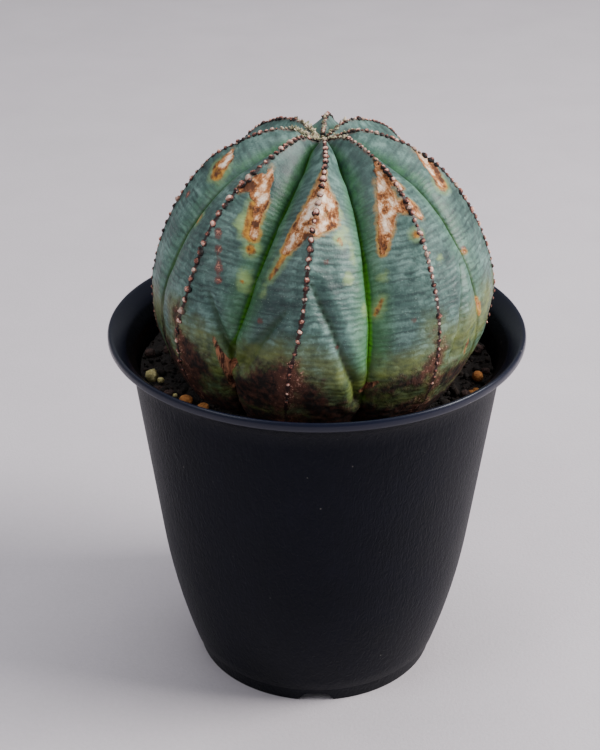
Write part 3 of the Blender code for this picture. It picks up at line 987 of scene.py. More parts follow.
@dataclass(frozen=True)
class Dent:
    """A broad, shallow hollow in the plant: where, how deep and how far it reaches, in millimetres."""

    azimuth: float
    height: float
    depth: float
    reach: float


DENTS = (
    Dent(-92.0, 112.0, 1.0, 20.0),
    Dent(-74.0, 94.0, 1.5, 15.0),
    Dent(80.0, 91.0, 1.9, 13.0),
    Dent(60.0, 90.0, 1.0, 10.0),
    Dent(150.0, 100.0, 0.9, 14.0),
)


# ---- The plant's finishes ------------------------------------------------------------------------------


@dataclass(frozen=True)
class SkinFinish:
    """The waxy, banded skin: grooves, scars, stains, spots, olive base, cork, painted light and shade."""

    # The deep colour is the skin's darkest tone, and also the painted shade on flanks facing away from the
    # key light.
    deep: Colour = (36, 54, 53)
    middle: Colour = (72, 100, 93)
    light: Colour = (124, 156, 147)
    lobe_and_painted_light: Colour = (114, 154, 144)
    stripe: Colour = (30, 46, 46)
    speck: Colour = (176, 196, 178)
    # Painted shade for the grooves and creases, and also the dark of the stripes over the clear green line.
    groove: Colour = (30, 58, 28)
    glow: Colour = (70, 136, 44)
    clear_green: Colour = (108, 196, 28)
    pale: Colour = (158, 184, 108)
    olive_dark: Colour = (58, 68, 32)
    olive_light: Colour = (120, 126, 52)
    flank: Colour = (66, 122, 66)
    cork_dark: Colour = (26, 17, 14)
    cork_light: Colour = (104, 60, 46)
    crumbs: Colour = (196, 150, 130)
    scar_burnt: Colour = (84, 46, 24)
    scar_edge: Colour = (146, 88, 44)
    scar_tan: Colour = (188, 132, 88)
    scar_pale: Colour = (226, 190, 158)
    scar_white: Colour = (250, 232, 214)
    stain_light: Colour = (190, 132, 44)
    spot_rim: Colour = (90, 46, 40)
    spot_core: Colour = (184, 120, 98)
    crack_dark: Colour = (58, 30, 20)
    crack_light: Colour = (186, 122, 88)
    crest: Colour = (44, 22, 20)
    young_crest: Colour = (112, 74, 62)

    def make(self) -> bpy.types.Material:
        """Builds the material.

        Returns:
            The material.
        """
        paint = Paint("euphorbia_skin")
        skin = paint.out("ShaderNodeUVMap", {"uv_map": "skin"}, None)
        across, gap, depth = paint.mark("across"), paint.mark("gap"), paint.mark("run")
        lumps = paint.clouds(0.09, 4.0, 0.6)
        blotches = paint.clouds(0.45, 4.0, 0.6)
        specks = paint.clouds(2.8, 2.0, 0.6)
        bands = paint.clouds(1.0, 3.0, 0.6, paint.scaled(skin, (15.0, 78.0, 1.0)), 0.25)
        weave = paint.clouds(1.0, 3.0, 0.6, paint.scaled(skin, (420.0, 120.0, 1.0)))
        breaks = paint.clouds(1.0, 3.0, 0.6, paint.scaled(skin, (44.0, 60.0, 1.0)))
        wander = (lumps - 0.5) * 3.2 + (blotches - 0.5) * 0.9
        stripes = (paint.mark("stripe") + wander).waves()
        tone = (bands * 0.32 + blotches * 0.34 + lumps * 0.34 + weave * 0.12).rise(0.36, 0.76)
        colour = paint.ramp(tone, (0.0, self.deep), (0.5, self.middle), (1.0, self.light))
        # Painted light (with some real paler lobes) on lit flanks, and painted shade on flanks facing away.
        light = paint.mark("light")
        lobe_and_painted_light = (across * 0.8 + bands * 0.5).rise(0.5, 0.95) * light.most(0.0)
        colour = paint.mix(lobe_and_painted_light, colour, self.lobe_and_painted_light)
        colour = paint.mix((light * -1).most(0.0) * across.rise(0.1, 0.5), colour, self.deep)
        flank = across.rise(0.45, 0.95) * blotches.rise(0.3, 0.6) * (0.2 + depth.rise(45.0, 15.0) * 0.35)
        colour = paint.mix(flank, colour, self.flank)
        dark = stripes.rise(0.3, 1.0) * breaks.rise(0.32, 0.66) * (0.2 + depth.rise(14.0, 40.0) * 0.8)
        colour = paint.mix(dark * 0.62, colour, self.stripe)
        colour = paint.mix(specks.rise(0.62, 0.78) * depth.rise(10.0, 60.0) * 0.4, colour, self.speck)
        # The grooves get painted shade, darkest at their bottoms, and some hold a line of clear green.
        glow = across.rise(0.6, 0.95) * paint.mark("vivid") * 0.45
        colour = paint.mix(glow, colour, self.glow)
        groove = (across + (blotches - 0.5) * 0.08 + (breaks - 0.5) * 0.04).rise(0.92, 0.995)
        colour = paint.mix(groove * 0.85, colour, self.groove)
        clear = (across + (breaks - 0.5) * 0.03).rise(0.945, 0.99) * paint.mark("vivid")
        colour = paint.mix(clear, colour, paint.mix(dark * 0.6, self.clear_green, self.groove))
        # Painted shade along the creases.
        colour = paint.mix(paint.mark("crease").rise(0.8, -0.4) * 0.7, colour, self.groove)
        # Pale blotches with ragged edges.
        pale = (paint.mark("pale") + (blotches - 0.5) * 3.4 + (breaks - 0.5) * 2.6).rise(0.9, -1.2)
        colour = paint.mix(pale * 0.55, colour, self.pale)
        # Olive above the cork, and the cork itself, with pale crumbs along the ribs' crests.
        cloud = (blotches - 0.5) * 7.0 + (lumps - 0.5) * 7.0 + (specks - 0.5) * 1.2
        over = paint.mark("cork") + cloud
        olive = paint.ramp(blotches * 0.6 + breaks * 0.4, (0.36, self.olive_dark), (0.64, self.olive_light))
        above = (paint.mark("olive") + cloud).least(over - 2.0)
        colour = paint.mix(above.rise(4.5, -2.0) * 0.75, colour, olive)
        bark = paint.clouds(0.6, 4.0, 0.62)
        near = gap.rise(5.0, 1.0)
        bark_tone = bark + near * 0.18 - 0.03
        cork_colour = paint.ramp(bark_tone, (0.4, self.cork_dark), (0.8, self.cork_light))
        colour = paint.mix(over.rise(3.2, -1.8), colour, cork_colour)
        crumbs = (specks * 0.6 + bark * 0.5).rise(0.62, 0.72) * near * over.rise(3.0, 0.0)
        colour = paint.mix(crumbs, colour, self.crumbs)
        # Spots: a red-brown rim round a paler core.
        ragged = (specks - 0.5) * 0.8 + (breaks - 0.5) * 0.5
        spot = paint.mark("spot") + ragged
        colour = paint.mix(spot.rise(0.5, -0.1) * 0.85, colour, self.spot_rim)
        colour = paint.mix((spot + (specks - 0.5) * 1.6).rise(-0.2, -0.7), colour, self.spot_core)
        # Stains, then scars: a yellowish halo, a burnt edge of uneven width, and fibrous pale cork inside.
        fibres = paint.clouds(1.0, 4.0, 0.7, paint.scaled(skin, (190.0, 34.0, 1.0)), 0.8)
        patches = paint.clouds(0.55, 3.0, 0.55)
        stain = paint.mark("stain") + (patches - 0.5) * 1.6 + ragged
        stained = paint.ramp(patches, (0.38, self.scar_burnt), (0.62, self.stain_light))
        colour = paint.mix(stain.rise(1.8, 0.2) * 0.3, colour, self.pale)
        colour = paint.mix(stain.rise(0.45, -0.35), colour, stained)
        scar = paint.mark("scar") + (patches - 0.5) * 2.0 + ragged * 0.5
        halo = scar.rise(0.9, 0.0) * lumps.rise(0.4, 0.6) * 0.8
        colour = paint.mix(halo, colour, self.stain_light)
        burn = (paint.mark("burn") + (specks - 0.5) * 1.2 + (blotches - 0.5) * 1.5).rise(0.8, -0.7)
        pith = patches * 0.6 + fibres * 0.42 + specks * 0.16 + paint.mark("scar").rise(0.3, -1.9) * 0.2
        pith = pith - burn * 0.22 - 0.2
        brown = ((0.3, self.scar_burnt), (0.39, self.scar_edge), (0.47, self.scar_tan))
        pale_cork = ((0.55, self.scar_pale), (0.66, self.scar_white))
        inside = scar.rise(0.15, -0.25)
        colour = paint.mix(inside, colour, paint.ramp(pith, *brown, *pale_cork))
        crack = (paint.mark("crack") + ragged).rise(0.3, -0.2)
        split = paint.mix(fibres.rise(0.42, 0.62), self.crack_dark, self.crack_light)
        colour = paint.mix(crack, colour, split)
        # The dark line that the bumps stand in.
        crest = (gap + (specks - 0.5) * 1.2 + (blotches - 0.5) * 1.4).rise(0.6, 0.2) * (1 - inside * 0.6)
        crest = crest * (0.45 + depth.rise(4.0, 26.0) * 0.55)
        colour = paint.mix(crest, colour, paint.mix(depth.rise(24.0, 8.0), self.crest, self.young_crest))
        cork = over.rise(2.0, -0.6)
        worn = inside.most(cork).most(crack)
        rough = 0.42 + tone * 0.08 + worn * 0.36
        relief = stripes * depth.rise(10.0, 44.0) * 0.24 + bands * 0.4 + specks * 0.25 + weave * 0.16
        relief = relief * (1 - worn) + (fibres * 0.8 + bark * 0.8) * worn * 1.6
        return paint.finish(colour, rough, relief, 0.2, Specular_IOR_Level=0.4)


@dataclass(frozen=True)
class BumpFinish:
    """The bumps on the ribs: nearly black red-brown at the foot, pinkish tan on top.

    The near black at the foot is painted shade, and the pale top is partly a painted highlight.
    """

    # The foot's near black is painted shade; the top and pale stops are partly a painted highlight.
    foot: Colour = (20, 11, 10)
    side: Colour = (92, 46, 38)
    top: Colour = (176, 116, 98)
    pale: Colour = (228, 186, 170)
    green: Colour = (96, 104, 88)

    def make(self) -> bpy.types.Material:
        """Builds the material.

        Returns:
            The material.
        """
        paint = Paint("rib_bumps")
        grain = paint.clouds(1.7, 3.0, 0.6)
        tone = paint.mark("tone")
        # Colour by height up the bump: painted shade low down, painted highlight at the top.
        tip = paint.mark("tip") + (grain - 0.5) * 1.3 + (tone - 0.5) * 0.6
        stops = ((0.46, self.foot), (0.66, self.side), (0.9, self.top), (1.14, self.pale))
        colour = paint.ramp(tip, *stops)
        colour = paint.mix(tone.rise(0.82, 0.95) * 0.4, colour, self.green)
        return paint.finish(colour, 0.66 - grain * 0.2, grain, 0.2, Specular_IOR_Level=0.35)


@dataclass(frozen=True)
class FlakeFinish:
    """The dried bits left among the crown's bumps."""

    dark: Colour = (96, 60, 52)
    green: Colour = (140, 142, 108)
    pale: Colour = (210, 192, 166)

    def make(self) -> bpy.types.Material:
        """Builds the material.

        Returns:
            The material.
        """
        paint = Paint("dried_flakes")
        tone = paint.mark("tone") * 0.7 + paint.clouds(1.5) * 0.5
        colour = paint.ramp(tone, (0.2, self.dark), (0.45, self.green), (0.85, self.pale))
        return paint.finish(colour, 0.8, paint.clouds(4.0), 0.05)


# ---- The plant's pieces --------------------------------------------------------------------------------


@dataclass
class Plant:
    """The plant: its ribbed stem and root, the bumps along its ribs and the dried bits at its crown.

    Sizes that aren't times MM are in millimetres. The ribs' own bump sizes and spacings are shares of the
    usual ones, and the small share is how many bumps have a smaller one beside them. The drift is how far the
    cork's edge wanders up and down behind.
    """

    form: RibbedForm
    columns_per_line: int = 22
    rows_above: int = 222
    rows_below: int = 20
    hidden_station: float = 12.9
    waviness: float = 0.28 * MM
    crease_depth: float = 1.35 * MM
    scar_depth: float = 0.16 * MM
    pith_roughness: float = 0.12 * MM
    crack_depth: float = 0.5 * MM
    cork_roughness: float = 0.2 * MM
    spot_height: float = 0.12 * MM
    ridge_height: float = 0.3 * MM
    ridge_width: float = 1.1
    bead_radius: float = 0.74 * MM
    rib_sizes: tuple[float, ...] = (0.96, 0.86, 0.9, 0.95, 0.95, 0.95, 0.9, 1.14)
    rib_spacing: tuple[float, ...] = (0.9, 0.66, 0.75, 0.8, 0.8, 0.8, 0.8, 0.92)
    small_share: float = 0.6
    thick_reach: float = 6.5
    flake_reach: float = 9.5
    bead_spacing: tuple[float, float] = (0.95 * MM, 2.25 * MM)
    spacing_reach: float = 34.0 * MM
    first_bead: float = 2.2 * MM
    last_bead: float = 78.0 * MM
    stripe_widths: tuple[float, float] = (1.0, 1.5)
    cork_floor: float = 90.5
    drift: float = 13.0
    bead_seed: int = 5
    flake_seed: int = 9
    bead_profile: tuple[tuple[float, float], ...] = (
        (1.0, -0.6), (1.08, -0.35), (1.0, -0.1), (0.86, 0.16), (0.66, 0.42), (0.44, 0.6), (0.2, 0.66),
    )

    def rows(self) -> np.ndarray:
        """The stations of the mesh's rings: fine where the stem shows, coarse for the buried root.

        Returns:
            The stations, from the crown down.
        """
        seen = self.form.run(np.array([0.0, self.hidden_station]))
        above = self.form.station_at_run(np.linspace(seen[0], seen[1], self.rows_above))
        below = np.linspace(self.hidden_station, self.form.last, self.rows_below)
        return np.concatenate([above, below[1:]])

    def turns(self) -> np.ndarray:
        """The mesh's columns, counted in lines round the plant and closer together near the grooves.

        Returns:
            The columns.
        """
        u = np.arange(self.columns_per_line) / self.columns_per_line
        halves = (1 - (1 - u) ** 1.7, u**1.7)
        return np.concatenate([line + halves[line % 2] for line in range(len(self.form.lines))])

    def build(self) -> bpy.types.Object:
        """Makes the stem and root, one closed body.

        Returns:
            The plant's object, with its marks stored on its mesh.
        """
        form = self.form
        s, turns = self.rows(), self.turns()
        columns = [form.surface(s, turn) for turn in turns]
        points = np.stack([column[0] for column in columns], 1)
        places = np.stack([column[1] for column in columns], 1) / MM
        across = np.broadcast_to(np.array([column[2] for column in columns]), points.shape[:2])
        run = np.broadcast_to((form.run(s) / MM)[:, None], across.shape)
        gap = np.stack([self.crest_gap(rib, s, places) for rib in range(len(form.lines) // 2)], -1).min(-1)
        marks = self.marks(places)
        push = self.relief(points, gap, run, marks) - self.sink(places)
        points = points + self.normals(points) * push[..., None]
        points[0] = points[0].mean(0)
        points[-1] = points[-1].mean(0)
        obj = self.mesh_of(points)
        # Each flank's painted light, or painted shade below 0, fading in from the crest.
        lights = np.array([form.lines[int(turn)].light for turn in turns])
        stored = {"across": across, "gap": gap, "run": run, "vivid": form.green(turns, s)}
        stored |= {"stripe": self.stripes(run), "light": lights * np.clip(across * 3, 0, 1)}
        stored |= {kind.value: np.clip(marks[kind], -MARK_REACH, MARK_REACH) for kind in MarkKind}
        for name, numbers in stored.items():
            store(obj.data, name, self.flat(numbers))
        self.unwrap(obj.data, turns, form.run(s))
        obj.data.materials.append(SkinFinish().make())
        return settle(obj, "stem", "euphorbia")

    def marks(self, places: np.ndarray) -> dict[MarkKind, np.ndarray]:
        """Distances to the marks.

        Args:
            places: Places on the bare outline, in millimetres.

        Returns:
            The distance in millimetres to the nearest mark of each kind, below 0 inside it.
        """
        found = {}
        for kind in MarkKind:
            strokes = MARKS[kind] + tuple((dot,) for dot in DOTS.get(kind, ()))
            gaps = [self.form.distance(stroke, places) for stroke in strokes]
            found[kind] = np.minimum(np.min(gaps, axis=0), MARK_REACH)
        behind = np.clip(places[..., 1] / 40.0 + 0.1, 0, 1)
        drift = clay_grid(places * MM, 38.0, 2) * behind * self.drift
        found[MarkKind.CORK] = np.minimum(found[MarkKind.CORK], places[..., 2] - self.cork_floor) + drift
        found[MarkKind.OLIVE] = found[MarkKind.OLIVE] + drift
        return found

    def stripes(self, run: np.ndarray) -> np.ndarray:
        """How many of the skin's cross stripes there are from the crown down, which widen on the way.

        Args:
            run: Length down the outline from the crown, in millimetres.

        Returns:
            The number of stripes above each place.
        """
        narrow, wide = self.stripe_widths
        widths = narrow + (wide - narrow) * np.clip((run[:, :1] - 5) / 30, 0, 1)
        counts = np.cumsum(np.diff(run[:, :1], axis=0) / widths[1:], axis=0)
        return np.broadcast_to(np.concatenate([[[0.0]], counts]), run.shape)

    def crest_gap(self, rib: int, s: np.ndarray, places: np.ndarray) -> np.ndarray:
        """Distance in millimetres of each place to a rib's crest on the same ring.

        Args:
            rib: The rib's number.
            s: The rings' stations.
            places: The places, ring by ring, in millimetres.

        Returns:
            The distances.
        """
        radii, heights, _, _ = self.form.stations(s)
        crest = self.form.placed(radii, self.form.azimuth(2 * rib, s), heights) / MM
        return np.linalg.norm(places - crest[:, None], axis=-1)

    def relief(
        self, points: np.ndarray, gap: np.ndarray, run: np.ndarray, marks: dict[MarkKind, np.ndarray]
    ) -> np.ndarray:
        """How far the skin's relief pushes the smooth form outwards.

        Args:
            points: The form's points, in metres.
            gap: Distance to the nearest rib's crest, in millimetres.
            run: Length down the outline from the crown, in millimetres.
            marks: Distance to the nearest mark of each kind, in millimetres.

        Returns:
            The push of each point, in metres.
        """
        shown = np.clip(run / 6.0, 0, 1)
        rough = clay_grid(points, 900.0, 2)
        crease, scar = marks[MarkKind.CREASE], marks[MarkKind.SCAR]
        inside = np.clip(-scar / 0.5, 0, 1)
        push = self.waviness * clay_grid(points, 110.0) * shown
        push -= self.crease_depth * np.exp(-np.maximum(crease + 0.4, 0) / 0.7)
        push += 0.3 * self.crease_depth * bell((crease - 2.4) / 1.5)
        push += self.scar_depth * (0.5 * bell(scar / 0.45) - inside) + self.pith_roughness * rough * inside
        push -= self.crack_depth * np.clip(-marks[MarkKind.CRACK] / 0.4, 0, 1)
        push += self.cork_roughness * rough * np.clip(1 - marks[MarkKind.CORK] / 2.0, 0, 1) * shown
        push += self.ridge_height * bell(gap / self.ridge_width) * shown
        push += self.spot_height * bell(marks[MarkKind.SPOT] / 0.4)
        return push

    def sink(self, places: np.ndarray) -> np.ndarray:
        """How far the dents draw the surface in, in metres, at places in millimetres.

        Args:
            places: The places.

        Returns:
            The depths.
        """
        depth = np.zeros(places.shape[:-1])
        for dent in DENTS:
            centre = self.form.spot(dent.azimuth, dent.height)
            depth += dent.depth * MM * np.exp(-((places - centre) ** 2).sum(-1) / dent.reach**2)
        return depth

    @staticmethod
    def normals(points: np.ndarray) -> np.ndarray:
        """Outward normals of a grid of rings that close on themselves."""
        normals = np.cross(np.gradient(points, axis=0), np.roll(points, -1, 1) - np.roll(points, 1, 1))
        return normals / np.maximum(np.linalg.norm(normals, axis=-1, keepdims=True), 1e-12)

    @staticmethod
    def flat(numbers: np.ndarray) -> np.ndarray:
        """A grid's numbers in the order of the mesh's corners, with one corner for each pole."""
        return np.concatenate([[numbers[0].mean()], numbers[1:-1].ravel(), [numbers[-1].mean()]])

    def mesh_of(self, points: np.ndarray) -> bpy.types.Object:
        """A closed mesh of rings, whose first and last rings are single points.

        Args:
            points: The rings' points, in metres.

        Returns:
            The plant's object.
        """
        count, columns = points.shape[:2]
        corners = np.concatenate([points[:1, 0], points[1:-1].reshape(-1, 3), points[-1:, 0]])
        faces = [tuple(1 + corner for corner in face) for face in tube_faces(count - 2, columns)]
        last = len(corners) - 1
        for column in range(columns):
            after = (column + 1) % columns
            faces.append((0, 1 + column, 1 + after))
            faces.append((last, last - columns + after, last - columns + column))
        return shape_object("euphorbia_stem", corners, faces)

    def unwrap(self, mesh: bpy.types.Mesh, turns: np.ndarray, run: np.ndarray) -> None:
        """Gives the skin its own map.

        Args:
            mesh: The plant's mesh.
            turns: The columns, counted in lines round the plant, which the map has across.
            run: Each ring's length down the outline, which the map has from the top down.
        """
        layer = mesh.uv_layers.new(name="skin")
        columns, lines = len(turns), len(self.form.lines)
        corner = np.empty(len(mesh.loops), np.int32)
        totals = np.empty(len(mesh.polygons), np.int32)
        mesh.loops.foreach_get("vertex_index", corner)
        mesh.polygons.foreach_get("loop_total", totals)
        last = len(mesh.vertices) - 1
        inner = (corner > 0) & (corner < last)
        row = np.where(corner == 0, 0, np.where(corner == last, len(run) - 1, 1 + (corner - 1) // columns))
        u = np.where(inner, turns[np.where(inner, (corner - 1) % columns, -1)], 0.0)
        face = np.repeat(np.arange(len(totals)), totals)
        # A face across the seam has its first column moved on a full turn. A pole takes its face's column.
        u = np.where((self.most_of(u, face)[face] > lines - 1) & (u < 1) & inner, u + lines, u)
        u = np.where(inner, u, self.most_of(u, face)[face])
        uv = np.stack([u / lines, 1 - run[row] / run[-1]], 1)
        layer.data.foreach_set("uv", uv.astype(np.float32).ravel())

    @staticmethod
    def most_of(numbers: np.ndarray, group: np.ndarray) -> np.ndarray:
        """The highest of each group's numbers.

        Args:
            numbers: The numbers.
            group: Each number's group, from 0 up and in order.

        Returns:
            The highest of each group, or 0.
        """
        most = np.zeros(group[-1] + 1)
        np.maximum.at(most, group, numbers)
        return most

    def bead_spots(self) -> Spots:
        """Where the bumps stand along the ribs. Their sizes are shares of a full bump's.

        Returns:
            The bumps' spots.
        """
        spots = Spots()
        chance = np.random.default_rng(self.bead_seed)
        near, far = self.bead_spacing
        for rib, (rib_size, rib_spacing) in enumerate(zip(self.rib_sizes, self.rib_spacing)):
            run = self.first_bead * chance.uniform(0.9, 1.2)
            while run < self.last_bead:
                s = self.form.station_at_run(np.array([run]))
                normal = self.form.stations(s)[2][0]
                azimuth = float(self.form.azimuth(2 * rib, s)[0]) + chance.normal(0, 0.006)
                point = self.form.surface(s, float(2 * rib))[0][0]
                out = Vector((normal[0] * math.sin(azimuth), -normal[0] * math.cos(azimuth), normal[1]))
                # Bumps are small at the crown, full on the shoulder, and worn low near the soil.
                young = 0.5 + 0.5 * (1 - math.exp(-run / (15 * MM)))
                old = np.clip((run - 44 * MM) / (36 * MM), 0, 1)
                size = young * (1.12 - 0.4 * old) * chance.uniform(0.72, 1.2) * rib_size
                lift = (0.26 * size) * MM - float(self.sink(np.array([point]) / MM)[0])
                spots.add(Vector(point) + out * lift, out, size)
                step = near + far * (1 - math.exp(-run / self.spacing_reach))
                if chance.random() < self.small_share:
                    aside = Vector(chance.normal(0, 0.45, 3)) * (MM * size)
                    place = spots.places[-1] + aside - out * (aside.dot(out) + 0.1 * MM)
                    spots.add(place, out, size * chance.uniform(0.4, 0.65))
                run += step * rib_spacing * chance.uniform(0.86, 1.14)
        return spots

    def bead_shape(self, number: int) -> bpy.types.Object:
        """One bump, a millimetre in radius: a squat dome on a flared foot, with a dented, off-centre top.

        Args:
            number: Which of the shapes it is.

        Returns:
            The shape, with its height from 0 to 1 stored as its tip.
        """
        sides, rings = 14, len(self.bead_profile)
        points, tips = [], []
        for radius, height in self.bead_profile:
            for side in range(sides):
                angle = 2 * math.pi * side / sides
                spot = Vector((radius * math.cos(angle), radius * math.sin(angle), height))
                bend = 1 + 0.24 * clay(spot + Vector((7.0 * number, 0, 0)), 1.4)
                points.append(Vector((spot.x * bend * 0.9, spot.y * bend * 1.1, spot.z * bend)) * MM)
                tips.append((height + 0.6) / 1.26)
        points += [Vector((0.05, 0.08, 0.62)) * MM, Vector((0, 0, -0.65)) * MM]
        tips += [0.95, 0.0]
        faces = [face[::-1] for face in tube_faces(rings, sides)]
        top, foot = rings * sides, rings * sides + 1
        for side in range(sides):
            after = (side + 1) % sides
            faces += [(top, top - sides + side, top - sides + after), (foot, after, side)]
        obj = shape_object(f"bead_shape_{number}", points, faces)
        store(obj.data, "tip", np.array(tips))
        return obj

    def flake_shape(self, number: int) -> bpy.types.Object:
        """One dried bit, a millimetre long: a thin, curled prong.

        Args:
            number: Which of the shapes it is.

        Returns:
            The shape.
        """
        sides, levels = 5, 5
        points = []
        for level in range(levels):
            t = level / (levels - 1)
            width = 0.3 * (1 - t) ** 0.7 + 0.05
            middle = Vector((0.35 * t * t * (1 + 0.3 * number), 0.0, t))
            for side in range(sides):
                angle = 2 * math.pi * side / sides
                edge = Vector((width * math.cos(angle), 1.8 * width * math.sin(angle), 0))
                points.append((middle + edge) * MM)
        faces = [face[::-1] for face in tube_faces(levels, sides)]
        faces += [tuple(reversed(range(sides))), tuple(range((levels - 1) * sides, levels * sides))]
        return shape_object(f"flake_shape_{number}", points, faces)

    def build_bumps(self) -> bpy.types.Object:
        """Makes the rows of bumps that run down the ribs' crests.

        Returns:
            The piece.
        """
        shapes = [self.bead_shape(number) for number in range(5)]
        bumps = Scatter("rib_bumps", self.bead_radius / MM, 0.1, 0.3)
        return settle(bumps.build(self.bead_spots(), shapes, BumpFinish().make()), "stem")

    def build_flakes(self) -> bpy.types.Object:
        """Makes the dried bits that stand among the youngest bumps, thickest at the crown's front left.

        Returns:
            The piece.
        """
        beads, spots = self.bead_spots(), Spots()
        chance = np.random.default_rng(self.flake_seed)
        for place, out, size in zip(beads.places, beads.ways, beads.sizes):
            reach = place.xy.length / MM
            thick = reach < self.thick_reach and place.x < 0 and place.y > -2 * MM
            for _ in range(8 if thick else 3 if reach < self.flake_reach else 0):
                way = (out + Vector(chance.normal(0, 0.6, 3))).normalized()
                grown = chance.uniform(0.7, 1.5) if thick else chance.uniform(0.4, 1.0)
                spots.add(place + way * (0.4 * MM * size), way, grown)
        shapes = [self.flake_shape(number) for number in range(3)]
        flakes = Scatter("crown_flakes", 0.62, 0.35, 0.3)
        return settle(flakes.build(spots, shapes, FlakeFinish().make()), "stem")


# ---- The pot -------------------------------------------------------------------------------------------


@dataclass(frozen=True)
class PotFinish:
    """Black moulded plastic with a fine leathery grain, faint streaks, specks of dust and a glossier rim.

    The rim's bluish colour is a painted reflection, and the streaks' bluish cast is partly painted sheen.
    """

    black: Colour = (2, 3, 4)
    # Bluish black for the streaks: partly the plastic's own mottling, partly painted sheen.
    worn: Colour = (8, 9, 16)
    # A painted bluish reflection on the rim.
    rim: Colour = (10, 15, 36)
    dust: Colour = (150, 146, 140)
    sheen_tint: tuple[float, float, float, float] = (0.62, 0.68, 1.0, 1.0)
    rim_height: float = 91.5

    def make(self) -> bpy.types.Material:
        """Builds the material.

        Returns:
            The material.
        """
        paint = Paint("pot_plastic")
        height = paint.value("ShaderNodeSeparateXYZ", None, {"Vector": paint.place}, "Z")
        broad = paint.clouds(0.06, 4.0, 0.6)
        grain = paint.clouds(2.0, 4.0, 0.65)
        leather = paint.clouds(1.0, 2.0, 0.5, paint.scaled(paint.place, (0.95, 0.95, 0.4)), 1.2)
        streaks = paint.clouds(1.0, 3.0, 0.6, paint.scaled(paint.place, (1.2, 1.2, 0.06)))
        tone = (broad * 0.5 + streaks * 0.3 + grain * 0.3).rise(0.42, 0.8)
        rim = height.rise(self.rim_height - 0.8, self.rim_height + 0.6)
        # The rim gets a painted bluish reflection; the streaks carry some painted sheen.
        colour = paint.mix(rim * 0.8, paint.mix(tone, self.black, self.worn), self.rim)
        dots = paint.cells(0.32).rise(0.075, 0.045) * paint.clouds(0.2).rise(0.56, 0.66)
        colour = paint.mix(dots * 0.6, colour, self.dust)
        rough = 0.42 + (grain - 0.5) * 0.24 + broad * 0.1 + dots * 0.2 - rim * 0.12
        relief = (grain * 0.25 + leather * 0.9 + streaks * 0.2) * (1 - rim * 0.7)
        sheen = {"Coat_Weight": rim * 0.5, "Coat_Roughness": 0.28, "Specular_Tint": self.sheen_tint}
        return paint.finish(colour, rough, relief, 0.2, Specular_IOR_Level=0.12, **sheen)


